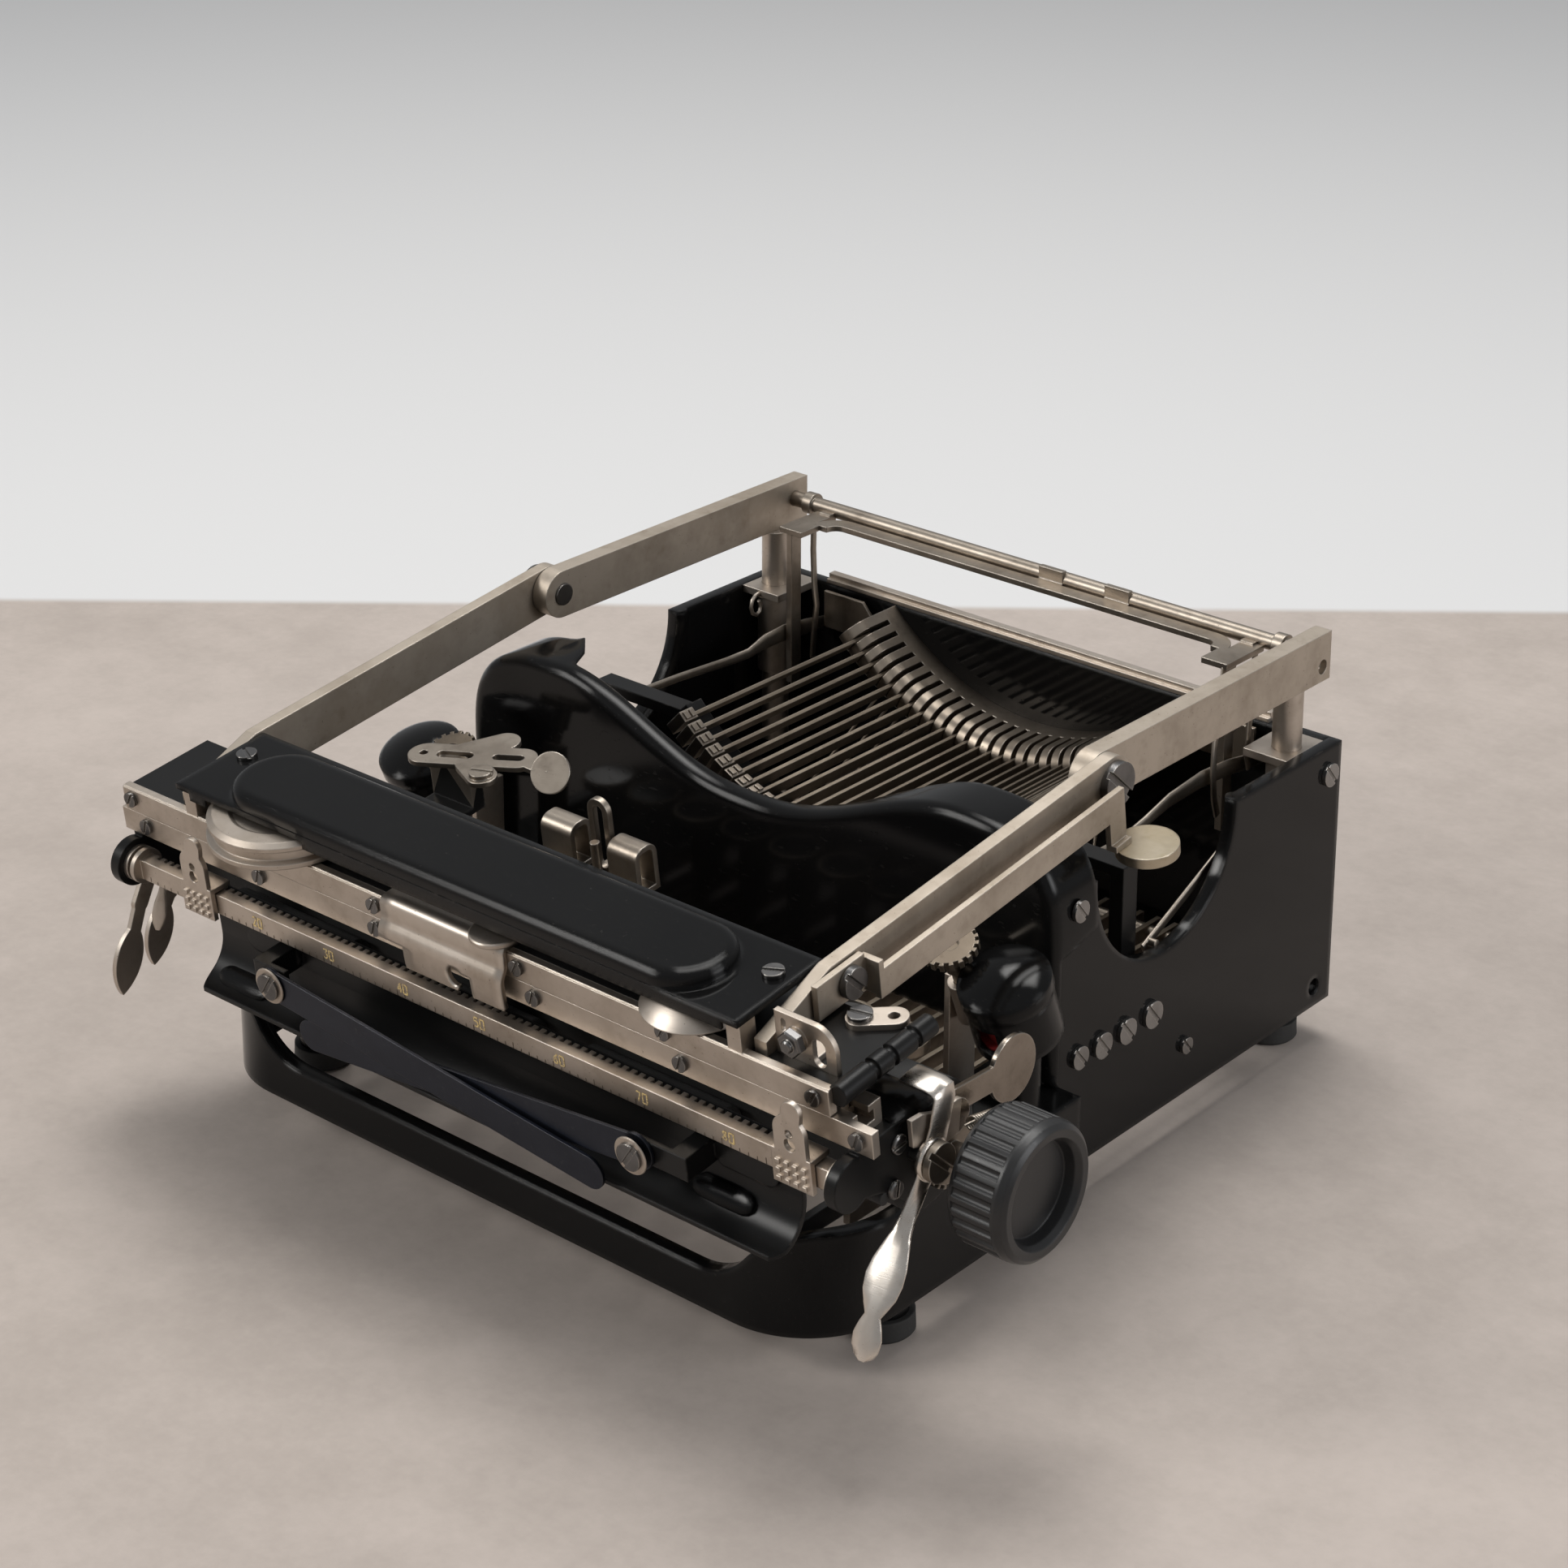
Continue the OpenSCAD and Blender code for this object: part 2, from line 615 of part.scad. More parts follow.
module universal_bar() color([0.55, 0.52, 0.47]) place() difference() {
  union() {
    bx(-62, 62, 87.6, 92.3, rod_z - 2.2, rod_z - 0.6);
    both() {
      translate([62, 84.2, rod_z - 2.2]) difference() {
        cylinder(h = 1.6, r = 8.1);
        translate([0, 0, -1]) cylinder(h = 4, r = 3.4);
        translate([-20, -20, -1]) cube([20, 40, 4]);
        translate([-9, -20, -1]) cube([30, 20, 4]);
      }
      translate([68, 76.2, rod_z - 2.2]) cube([6, 8.4, 1.6]);
      bx(70, 76, 76.2, 93.2, rod_z - 2.2, rod_z - 0.6);
      bx(73, 75, 78, 82, 60, rod_z - 0.6);
      bx(70, 74, 91, rod_y - 1.5, rod_z - 2.2, rod_z);
    }
    for (x = [3, 25]) {
      bx(x, x + 8, 91, 94.5, rod_z - 2.2, rod_z - 0.6);
      bx(x, x + 8, 92.9, 94.5, rod_z - 2, rod_z + 3);
    }
  }
  rx(-90, 90, rod_y, rod_z, 2.2 + seat);
}

// Folding carriage frame
module front_links() color([0.63, 0.6, 0.55]) place() fold() both() difference() {
  yz(fl0, fl1) {
    circle(r = lh2);
    polygon([[0, lh2], [0, -lh2], [-90, -lh2], [-98, plate_w1], [-126, plate_w1], [-126, 0],
      [-104, lh2]]);
  }
  rx(fl0 - 1, fl1 + 1, 0, 0, 3 + seat);
  rx(fl1 - 2, fl1 + 1, -100.3, 1.8, 1.5 + seat);
}
module frame_plate() color([0.03, 0.03, 0.03]) place() fold() {
  bx(-frame_w2, frame_w2, -127, -101.8, plate_w0, plate_w1);
  // Grooved rod along the right end
  difference() {
    ry(-128, -97, frame_w2 + 1.4, plate_w1 - 0.6, 2.6);
    for (u = [-118, -112, -104]) translate([frame_w2 + 1.4, u, plate_w1 - 0.6]) rotate([-90, 0, 0])
      difference() {
        cylinder(h = 1.6, r = 4);
        translate([0, 0, -1]) cylinder(h = 4, r = 1.9);
      }
    bx(-frame_w2, frame_w2 - 0.5, -130, -90, -10, 0);
  }
}
module frame_rail() color([0.62, 0.59, 0.54]) place() fold() {
  bx(-frame_w2, frame_w2, back_u, -127, -9.1, -2.9);
  bx(-frame_w2, frame_w2, back_u + 0.4, -127, -2.9, -2.6);
  // Posts that carry the cover
  both() {
    bx(86.8, 90.8, -129, -124, plate_w1, cover_w0);
    bx(86.8, 90.8, -106, -102.4, plate_w1, cover_w0);
  }
}
module guide_bar() color([0.4, 0.39, 0.37]) place() fold() {
  bx(-frame_w2 + 1, frame_w2 - 1, -124.6, -122.2, -11.5, plate_w0);
  bx(-frame_w2 + 1, frame_w2 - 1, -126.2, -120.6, -13.2, -11.4);
}
pad_r = 12;
pad_u = -118.2;
pad_x = 66;
pad_e = 2.6;
module pad_flat(r) {
  translate([-pad_x, -r]) square([2 * pad_x, 2 * r]);
  for (s = [-1, 1]) translate([s * pad_x, 0]) circle(r = r);
}
module cover() color([0.03, 0.03, 0.03]) place() fold() {
  bx(-link_x + 0.2, link_x - 0.2, -130.4, -101.8, cover_w0, cover_w1);
  difference() {
    bx(-link_x + 5, link_x - 5, -130.4, -129.6, cover_w0 - 2, cover_w0);
    translate([drum_x, drum_u, cover_w0 - 5]) cylinder(h = 10, r = drum_d / 2 + pass);
  }
  translate([0, pad_u, cover_w1]) {
    linear_extrude(height = 4 - pad_e) pad_flat(pad_r);
    linear_extrude(height = 4) pad_flat(pad_r - pad_e);
    intersection() {
      union() {
        for (s = [-1, 1]) {
          rx(-pad_x, pad_x, s * (pad_r - pad_e), 4 - pad_e, pad_e);
          translate([s * pad_x, 0, 4 - pad_e]) rotate_extrude()
            translate([pad_r - pad_e, 0]) circle(r = pad_e);
        }
      }
      translate([-100, -20, 0]) cube([200, 40, 10]);
    }
  }
  // Stud for the drum
  translate([drum_x, drum_u, plate_w1]) cylinder(h = cover_w0 - plate_w1, r = 2.5);
}
bell_x = 70;
bell_u = -119.5;
module bell() color([0.66, 0.63, 0.57]) place() fold() translate([bell_x, bell_u, plate_w1]) {
  translate([0, 0, 1.1]) difference() {
    intersection() {
      translate([0, 0, -11.2]) sphere(r = 17.6);
      cylinder(h = 8, r = 13.4);
    }
    translate([0, 0, -12.4]) sphere(r = 17.6);
    translate([0, 0, -1]) cylinder(h = 1.8, r = 12.6);
  }
  cylinder(h = 6.2, r = 2);
}
module drum() color([0.66, 0.63, 0.57]) place() fold() translate([drum_x, drum_u, plate_w1 + 1])
  difference() {
    r = drum_d / 2;
    rotate_extrude() polygon([[0, 0], [r, 0], [r, 1.2], [r - 1.6, 1.8], [r - 1.6, 3.8], [r - 0.6, 4.4],
      [r - 0.6, 5.4], [r - 2, 6.4], [r - 6, 6.4], [r - 7, 5.8], [0, 5.8]]);
    translate([0, 0, -1]) cylinder(h = 10, r = 2.5 + run);
  }
module centre_bracket() color([0.66, 0.63, 0.58]) place() fold() {
  difference() {
    union() {
      bx(-20, 20, back_u - 1.6, back_u, -9, -1.1);
      bx(-20, 20, back_u - 1.6, -125.5, -2.6, -1.1);
      bx(-20, 20, back_u - 3.4, back_u, -9, -7.4);
      bx(-20, 20, back_u - 3.4, back_u - 1.8, -16.9, -7.4);
    }
    bx(-20.5, -12, back_u - 4, back_u - 1.7, -18, -11);
    xz(back_u - 4, back_u - 1.7) {
      translate([5, -13.2]) circle(r = 2.8);
      translate([5, -18]) square([5, 6.4]);
    }
  }
  // Round stop disc above the rail
  translate([15, -127, -1.1]) cylinder(h = 1.4, r = 6.5);
}
// Side shape of the guide's saddle: flat top, round shoulders
module saddle_side(r) {
  strip(saddle_u - 3.7 + r, saddle_w - r, saddle_u + 3.7 - r, saddle_w - r, r);
  translate([saddle_u - 3.7, -12]) square([7.4, saddle_w - r + 12]);
}
module type_guide() color([0.6, 0.57, 0.52]) place() fold() {
  bx(-13, 13, -112, -103, -11, plate_w0);
  difference() {
    union() {
      bx(-13, 13, -112, -88, -12.4, -10.9);
      bx(-11, 20, -90, saddle_u + 3.7, -12.4, -10.9);
      // Saddle of two cheeks with a gap between them
      difference() {
        yz(-11, 20) saddle_side(3);
        translate([0, 0, -1.4]) yz(-12, 21) strip(saddle_u - 1, saddle_w - 1.3, saddle_u + 1, saddle_w - 1.3, 1.3);
        bx(-12, 21, saddle_u - 2.3, saddle_u + 2.3, -10.9, saddle_w - 2.7);
        bx(guide_x0, loop_x + 4.6, -90, -70, -10.9, 20);
      }
    }
    // Way for a struck typebar
    bx(guide_x0, guide_x1, saddle_u - 6, -70, -13, 20);
  }
  // Standing loop and the stud in front of it
  xz(saddle_u - 0.8, saddle_u + 0.8) difference() {
    strip(loop_x, -8, loop_x, loop_w - loop_r, loop_r);
    strip(loop_x, -8, loop_x, loop_w - loop_r, loop_r - 1.7);
    translate([loop_x - 10, -30]) square([20, 19.1]);
  }
  translate([loop_x - 0.6, saddle_u - 2.3, -10.9]) cylinder(h = 9, r = 1.2);
}
module escapement_bracket() color([0.6, 0.57, 0.52]) place() fold() {
  bx(esc_x - 7, esc_x + 7, -112, -103, -11, plate_w0);
  bx(esc_x - 7, esc_x + 7, -112, -76, -12.4, -10.9);
  bx(esc_x - 7, esc_x + 7, -80, -76, -12.4, esc_w);
  translate([esc_x, 0, esc_w]) linear_extrude(height = 1.3) difference() {
    union() {
      strip(-7, -80.6, 15, -70, 4.6);
      strip(-1, -78, 6, -66, 4);
      strip(15, -70, 21, -70, 2.4);
      strip(6, -78, 13, -81, 3.8);
    }
    strip(-3, -78.8, 3, -76, 1.5);
    strip(10, -72.5, 15, -70, 1.3);
    translate([-7.6, -80.8]) circle(r = 1.1);
  }
  // Slotted screw and finger paddle
  translate([esc_x + 12.6, -80.8, esc_w + 1.3]) rotate(20) screw_head(3, 1.2);
  translate([esc_x + 26, -70, esc_w + 0.6]) rotate([55, 0, 20]) cylinder(h = 0.9, r = 5.2);
  translate([esc_x + 20, -71, esc_w]) cube([5.5, 1.8, 1.3]);
}
// Room on the plate between the backspace pivot and the plate end
room0 = fl1 + 4.4;
room = frame_w2 - 0.6 - room0;
strap_x = room0 + room / 2;
strap_r = 0.23 * room;
strap_u = -105.4;
win_x = fl1 + 0.6;
win = frame_w2 - 2.2 - win_x;
win_h = 10.8;
win_r = 0.9 * win * win_h / (win + win_h);
module end_bracket() color([0.66, 0.63, 0.58]) place() fold() {
  // Window bracket beside the right link, with a nut on its face
  xz(-123.4, -122) difference() {
    translate([win_x, plate_w1]) intersection() {
      square([win, win_h]);
      union() {
        square([win - win_r, win_h]);
        square([win, win_h - win_r]);
        translate([win - win_r, win_h - win_r]) circle(r = win_r);
      }
    }
    strip(win_x + 0.72 * win, plate_w1 + 2.4, win_x + 0.72 * win, plate_w1 + 0.52 * win_h, 0.11 * win);
    strip(win_x + 0.14 * win, plate_w1 + 0.6 * win_h, win_x + 0.14 * win, plate_w1 + 0.8 * win_h, 0.04 * win);
  }
  bx(win_x, win_x + 0.6 * win, -122, -117, plate_w1, plate_w1 + 1.4);
  ry(-125, -123.4, win_x + 0.36 * win, plate_w1 + 0.52 * win_h, 0.17 * win);
  // Flat strap at the rear of the plate
  translate([strap_x, strap_u, plate_w1]) linear_extrude(height = 1.5) difference() {
    strip(-room * 0.2, 0, room * 0.2, room * 0.3, strap_r);
    translate([room * 0.2, room * 0.3]) circle(r = strap_r * 0.4);
  }
}
module frame_screws() color([0.1, 0.1, 0.11]) place() fold() {
  // Fold pivots
  both() {
    head_x(fl1, 0, 0, 5.6, 2.2);
    rx(link_in - 0.6, fl1 + 0.5, 0, 0, 3);
  }
  // Back rail screws
  for (x = [-112, -24, 23, 68, 111]) head_front(x, back_u, -5.6, 2, 1, 60);
  // Cover screws
  both() translate([86, -112, cover_w1]) rotate(25) screw_head(2.6, 1.1);
  // Backspace pivot
  rx(fl1 - 2, fl1 + 2.2, -100.3, 1.8, 1.5);
  head_x(fl1 + 2.2, -100.3, 1.8, 3.8, 1.8);
  // Strap and drum plate screws
  translate([strap_x - room * 0.2, strap_u, plate_w1 + 1.5]) rotate(10) screw_head(strap_r * 0.86, 1.2);
}
// Backspace key and lever on the right arm
bk_x0 = fl1 + 0.4;
module backspace_lever() color([0.62, 0.59, 0.54]) place() fold() difference() {
  union() {
    bx(bk_x0, bk_x0 + 1.6, -111, -95, -2.6, 6);
    bx(bk_x0, bk_x0 + 5.6, -95, -93.4, -3.6, 5);
    bx(bk_x0 + 4, bk_x0 + 5.6, -95, -6, -4.4, 2.6);
    bx(bk_x0 + 4, bk_x0 + 5.6, -10, -4, -12, 2.6);
    bx(bk_x0 + 4, bk_x0 + 7, -10, -4, -12, -10.4);
  }
  rx(bk_x0 - 1, bk_x0 + 3, -100.3, 1.8, 1.5 + run);
}
module backspace_key() color([0.66, 0.6, 0.5]) place() fold()
  translate([bk_x0 + 10, -2, -14.6]) {
    cylinder(h = 2.6, r = 7.8);
    translate([-5, -5, 2.5]) cube([2, 4, 0.1]);
  }

// Sliding carriage
module carriage_rail() color([0.62, 0.59, 0.54]) place() fold() {
  bx(rail_x0, rail_x1, back_u + 0.3, -126.8, slide_w0, slide_w1);
  bx(rail_x0, end_r, back_u + 0.3, -117.6, slide_w0, -13.6);
  bx(rail_x0, end_r, -120, -117.6, slide_w0, slide_w1);
  bx(rail_x0, end_r, -126.8, -125.2, -11, slide_w1);
  bx(rail_x0, end_r, -121.6, -120, -11, slide_w1);
  // Guard plate beside the line ratchet
  yz(rail_x1 - 1.5, rail_x1 - 0.3) {
    polygon([[-116, -14], [-112, -14.6], [-106, -17.6], [-101, -17.6], [-101, -26], [-105, -26], [-116, -20.8]]);
    translate([-101, -21.8]) circle(r = 4.2);
  }
  rx(end_r + end_t, rail_x1 - 1.5, -111, -18.4, 1.3);
  // Round finger plate on the right end plate
  yz(end_r + end_t, end_r + end_t + 1.2) {
    strip(-98, -20.6, -84, -23, 3);
    translate([-78, -24]) circle(r = 8);
  }
}
module end_flat() {
  polygon([[back_u + 0.3, slide_w0], [-117.6, slide_w0], [-98, -19], [-92.5, -31.5], [-97, -41],
    [-110, -42], [-122, -30], [scale_u1, -27], [scale_u1, -18], [back_u + 0.3, -18]]);
  translate([-platen_u, -platen_w]) circle(r = 9.5);
  translate([(scale_u0 + scale_u1) / 2, (scale_w0 + scale_w1) / 2]) circle(r = 6.2);
}
module end_plates() color([0.03, 0.03, 0.03]) place() fold() for (x = [end_l, end_r])
  difference() {
    yz(x, x + end_t) end_flat();
    rx(x - 1, x + end_t + 1, -platen_u, -platen_w, 3 + run);
    rx(x - 1, x + end_t + 1, feed_u, -platen_w, 1.5 + seat);
  }
feed_r = 5;
feed_u = -(platen_u + platen_r + feed_r + 0.4);
module feed_rolls() color([0.07, 0.07, 0.07]) place() fold() {
  rx(end_l, end_r + end_t, feed_u, -platen_w, 1.5);
  for (x = [-85, -25, 35]) rx(x, x + 42, feed_u, -platen_w, feed_r);
}
module scale_rail() color([0.62, 0.59, 0.54]) place() fold() {
  n = floor((end_r - end_l - end_t - 14) / letter);
  difference() {
    bx(end_l + end_t, end_r, scale_u0, scale_u1, scale_w0, scale_w1);
    for (i = [0:n - 1]) translate([end_l + end_t + 7 + i * letter, scale_u1 - 1.3, scale_w1 - 1.8])
      cube([letter * 0.45, 2, 3]);
  }
  // Collars at both ends
  for (x = [end_l + end_t, end_l + end_t + 2.4, end_r - 1.4])
    rx(x, x + 1.4, (scale_u0 + scale_u1) / 2, (scale_w0 + scale_w1) / 2, 4.6);
}
// Trough behind the platen
table_x0 = -84;
table_x1 = 105;
flare_r = 10;
flare_w = -34;
arm_l = -51;
arm_r = 67;
module paper_table() color([0.03, 0.03, 0.03]) place() fold() {
  u1 = scale_u1 + 1.2;
  intersection() {
    yz(table_x0, table_x1) {
      translate([scale_u1, flare_w]) square([1.2, -20 - flare_w]);
      difference() {
        translate([scale_u1 - flare_r, flare_w]) circle(r = flare_r + 1.2);
        translate([scale_u1 - flare_r, flare_w]) circle(r = flare_r);
        translate([-170, flare_w]) square([60, 40]);
        translate([-200, flare_w - 40]) square([200 + scale_u1 - flare_r, 60]);
      }
    }
    translate([0, 0, -60]) linear_extrude(height = 60) {
      translate([table_x0, -134]) square([table_x1 - table_x0, 8]);
      translate([table_x0 + 8, -142]) square([table_x1 - table_x0 - 16, 9]);
      translate([table_x0 + 8, -134]) circle(r = 8);
      translate([table_x1 - 8, -134]) circle(r = 8);
    }
  }
  // Pressed bosses and the arched clips that carry the paper arms
  for (s = [[90, arm_r], [-63, arm_l]]) {
    xz(scale_u1 - 1.2, scale_u1) strip(s[0] - 6, arm_w, s[0] + 6, arm_w, 3.4);
    px = s[1];
    qx = (s[0] + s[1]) / 2;
    bx(qx - 2.5, qx + 2.5, arm_u + 1.2, scale_u1, arm_w - 3, arm_w + 3);
    bx(min(px, qx) - 2.5, max(px, qx) + 2.5, arm_u + 1.2, arm_u + 2.6, arm_w - 3, arm_w + 3);
    ry(arm_u - 2.2, arm_u + 2, px, arm_w, 1.6);
    head_front(px, arm_u - 1.4, arm_w, arm_head, arm_u - 1.4 - front_u, 55);
  }
}
module paper_arm(px, len, a, u) {
  difference() {
    xz(u, u + 0.8) translate([px, arm_w]) rotate(a) {
      translate([0, -4.2]) square([len, 8.4]);
      circle(r = 4.6);
      translate([len, 0]) circle(r = 4.2);
    }
    ry(u - 1, u + 2, px, arm_w, 1.6 + run);
  }
}
module paper_arm_left() color([0.07, 0.08, 0.1]) place() fold() paper_arm(arm_l, 104, -6, arm_u - 1.2);
module paper_arm_right() color([0.07, 0.08, 0.1]) place() fold() paper_arm(arm_r, 108, 186, arm_u + 0.2);
module margin_stop(x) {
  difference() {
    translate([x, 0, 0]) union() {
      bx(-5.5, 5.5, scale_u0 - pass - 1.3, scale_u0 - pass, -26.4, -17.8);
      bx(-5.5, 5.5, scale_u0 - pass, scale_u1 + 0.6, scale_w1 + pass, scale_w1 + pass + 1.3);
      xz(scale_u0 - pass - 1.3, scale_u0 - pass) strip(0, -18, 0, -12.5, 4.4);
      xz(scale_u0 - pass - 1.3, scale_u0 - pass) strip(0, -13, 1, -7, 2.6);
      translate([-5.5, scale_u0 - pass - 1.3, -26.4]) cube([11, 0.2, 7]);
      for (i = [0:3], j = [0:2]) translate([-4.2 + i * 2.4, scale_u0 - pass - 1.9, -25.6 + j * 2.2])
        cube([1.2, 0.8, 1.1]);
    }
    xz(scale_u0 - 5, scale_u0 + 0.5) {
      translate([x, -15.6]) circle(r = 1.6);
      translate([x, -12.8]) circle(r = 1.1);
    }
  }
}
stop_l = -84;
stop_r = 108;
module margin_stop_left() color([0.66, 0.63, 0.58]) place() fold() margin_stop(stop_l);
module margin_stop_right() color([0.66, 0.63, 0.58]) place() fold() margin_stop(stop_r);
module platen() color([0.05, 0.05, 0.05]) place() fold() difference() {
  rx(end_l + end_t + 1, end_r - 1, -platen_u, -platen_w, platen_r);
  rx(end_l, end_r + 2, -platen_u, -platen_w, 3 + seat);
}
module platen_shaft() color([0.55, 0.53, 0.5]) place() fold() {
  rx(end_l - 1, knob_x1 - 8, -platen_u, -platen_w, 3);
  // Line ratchet
  difference() {
    rx(end_r + end_t + 0.5, end_r + end_t + 2.3, -platen_u, -platen_w, 8);
    for (a = [0:18:359]) translate([end_r + end_t, -platen_u, -platen_w]) rotate([a, 0, 0])
      translate([0, 7, -0.6]) cube([3, 3, 1.6]);
  }
}
module platen_knob() color([0.03, 0.03, 0.03]) place() fold()
  translate([knob_x1 - 15.5, -platen_u, -platen_w]) rotate([0, 90, 0]) difference() {
    r = knob_d / 2;
    rotate_extrude() polygon([[0, 0], [r - 2, 0], [r - 0.6, 0.6], [r, 2], [r, 13], [r - 0.5, 14.6],
      [r - 1.6, 15.5], [r - 3.4, 15.4], [r - 4.4, 14], [r - 5, 11.5], [0, 11.5]]);
    translate([0, 0, -1]) cylinder(h = 8.5, r = 3 + seat);
    for (a = [0:12:359]) rotate(a) translate([r + 0.5, 0, 1.6]) cylinder(h = 10.6, r = 1.2);
  }
// Lever pivots at the right end of the carriage
ls_u = -112;
ls_w = -25.5;
ls_x = end_r + end_t + 4;
module line_space_lever() color([0.68, 0.66, 0.6]) place() fold() difference() {
  union() {
    yz(ls_x, ls_x + 1.8) {
      strip(ls_u, ls_w, ls_u + 6, ls_w + 11, 3.4);
      translate([ls_u + 2.6, ls_w + 8]) square([7, 7.2]);
      strip(ls_u, ls_w, ls_u - 16, ls_w - 17, 2.4);
      leaf(ls_u - 18.2, ls_w - 19, 52, 11.5, 4.8);
      translate([ls_u, ls_w]) circle(r = 5);
    }
    bx(ls_x - 9, ls_x + 1.8, ls_u + 2.6, ls_u + 9.6, ls_w + 13.8, ls_w + 15.2);
    yz(ls_x + 0.4, ls_x + 1.2) leaf(ls_u - 23, ls_w - 28, 58, 8.5, 3.9);
  }
  rx(ls_x - 1, ls_x + 3, ls_u, ls_w, 2 + run);
}
cr_u = -120;
cr_w = -22;
module carriage_release() color([0.62, 0.6, 0.55]) place() fold() difference() {
  yz(end_l - 2.6, end_l - 1.2) {
    strip(cr_u, cr_w, cr_u - 10, cr_w - 15, 2.2);
    strip(cr_u - 10, cr_w - 15, cr_u - 15, cr_w - 25, 1.8);
    leaf(cr_u - 16.4, cr_w - 28, 66, 9.5, 4.2);
    translate([cr_u, cr_w]) circle(r = 3.6);
  }
  rx(end_l - 4, end_l + 1, cr_u, cr_w, 1.5 + run);
}
pr_u = -112;
pr_w = -27;
module paper_release() color([0.62, 0.6, 0.55]) place() fold() difference() {
  yz(end_l - 4.6, end_l - 3.2) {
    strip(pr_u, pr_w, pr_u - 7, pr_w - 13, 2.2);
    strip(pr_u - 7, pr_w - 13, pr_u - 11, pr_w - 18, 1.8);
    leaf(pr_u - 12.4, pr_w - 22, 66, 9, 4);
    translate([pr_u, pr_w]) circle(r = 3.6);
  }
  rx(end_l - 6, end_l + 1, pr_u, pr_w, 1.5 + run);
}
module carriage_screws() color([0.1, 0.1, 0.11]) place() fold() {
  for (x = [-108, -66, -25, 27, 72, 122]) head_front(x, back_u + 0.3, -12.4, 2, 1, 70);
  // Pivots of the end levers
  rx(end_r + end_t, ls_x + 2.2, ls_u, ls_w, 2);
  head_x(ls_x + 2.2, ls_u, ls_w, 4.6, 1.8);
  rx(end_l - 3, end_l, cr_u, cr_w, 1.5);
  rx(end_l - 5, end_l, pr_u, pr_w, 1.5);
  rx(end_l - 5.5, end_l - 4.9, pr_u, pr_w, 2.6);
}
module panel_screws() color([0.2, 0.2, 0.21]) place() both() {
  for (p = [[-12.8, 40.2, 3], [-3.5, 39.6, 3.4], [6.6, 39.3, 3.4], [17.5, 39.3, 3.6], [32.8, 24.4, 2.2],
    [body_y1 - 5.7, body_top - 7.7, 3.2]]) head_x(w2, p[0], p[1], p[2], 1.2);
  head_x(w2 + 1.2, -15.7, body_top - 4, 2.8, 1.1);
}

keyboard_frame();
side_walls();
feet();
foot_cups();
rear_plate();
rear_bar();
front_shield();
type_segment();
typebars();
type_rest();
key_levers();
key_faces();
lever_comb();
spool_cups();
post_bushings();
panel_screws();
spool_left();
spool_right();
gear_left();
gear_right();
live_key();
live_key_face();
live_typebar();
space_bar();
shift_keys();
shift_posts();
rear_links();
cross_rod();
universal_bar();
front_links();
frame_screws();
frame_plate();
frame_rail();
guide_bar();
cover();
bell();
centre_bracket();
type_guide();
escapement_bracket();
end_bracket();
drum();
backspace_lever();
backspace_key();
carriage_rail();
end_plates();
scale_rail();
paper_table();
feed_rolls();
carriage_screws();
platen();
platen_shaft();
platen_knob();
line_space_lever();
carriage_release();
paper_release();
margin_stop_left();
margin_stop_right();
paper_arm_left();
paper_arm_right();
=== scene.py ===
# %% [markdown]
# # A folding portable typewriter
# The solids of the machine come from CAD and already have their true sizes, so this lesson is about
# looks: the camera, the light, the finishes, and the small wire, spring and sheet pieces that a CAD
# model leaves out. We load the imported model first.

# %% Load the imported machine
import json
import math

import bpy
import bmesh
from mathutils import Matrix, Vector


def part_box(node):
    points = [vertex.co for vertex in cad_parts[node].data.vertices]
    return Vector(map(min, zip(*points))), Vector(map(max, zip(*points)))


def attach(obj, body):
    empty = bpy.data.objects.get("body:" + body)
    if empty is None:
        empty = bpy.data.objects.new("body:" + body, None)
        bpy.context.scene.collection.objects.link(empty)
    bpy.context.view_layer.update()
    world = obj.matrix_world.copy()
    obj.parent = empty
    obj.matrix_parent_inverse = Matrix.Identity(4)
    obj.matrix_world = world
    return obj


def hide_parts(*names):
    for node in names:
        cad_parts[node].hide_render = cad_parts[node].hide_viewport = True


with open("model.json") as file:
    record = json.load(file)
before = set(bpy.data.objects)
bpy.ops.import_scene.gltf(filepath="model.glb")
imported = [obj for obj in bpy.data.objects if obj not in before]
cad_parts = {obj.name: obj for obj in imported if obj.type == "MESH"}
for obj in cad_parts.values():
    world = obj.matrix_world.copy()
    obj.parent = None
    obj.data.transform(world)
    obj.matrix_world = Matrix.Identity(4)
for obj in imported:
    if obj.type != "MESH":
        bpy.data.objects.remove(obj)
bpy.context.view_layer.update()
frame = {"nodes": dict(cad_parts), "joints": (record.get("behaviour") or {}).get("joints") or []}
nodes = frame["nodes"]
MM = 0.001

# %% [markdown]
# ## Two frames to think in
# The machine's own origin is the middle of its footprint. For placing small pieces it is easier to
# count from the middle of the fold pivot, because the whole carriage is laid out along the two arms.
# The pivot's place is read from the joint, so the pieces follow if the model is packed again.

# %% Places counted from the fold pivot
fold_joint = next(j for j in frame["joints"] if j["name"] == "carriage_fold")
PIVOT = Vector(fold_joint["pos_m"])
PIVOT_HEIGHT = 107.3
TILT = math.radians(7.7)


def base_point(x, y, z):
    """A point of the base: x and y in mm from the fold pivot, z from the floor."""
    return PIVOT + Vector((x, y, z - PIVOT_HEIGHT)) * MM


def arm_point(x, u, w):
    """A point of the folded carriage: u along the arms, w square to them, in mm."""
    y = u * math.cos(TILT) - w * math.sin(TILT)
    z = u * math.sin(TILT) + w * math.cos(TILT)
    return PIVOT + Vector((x, y, z)) * MM


print("fold pivot at", [round(v, 4) for v in PIVOT])

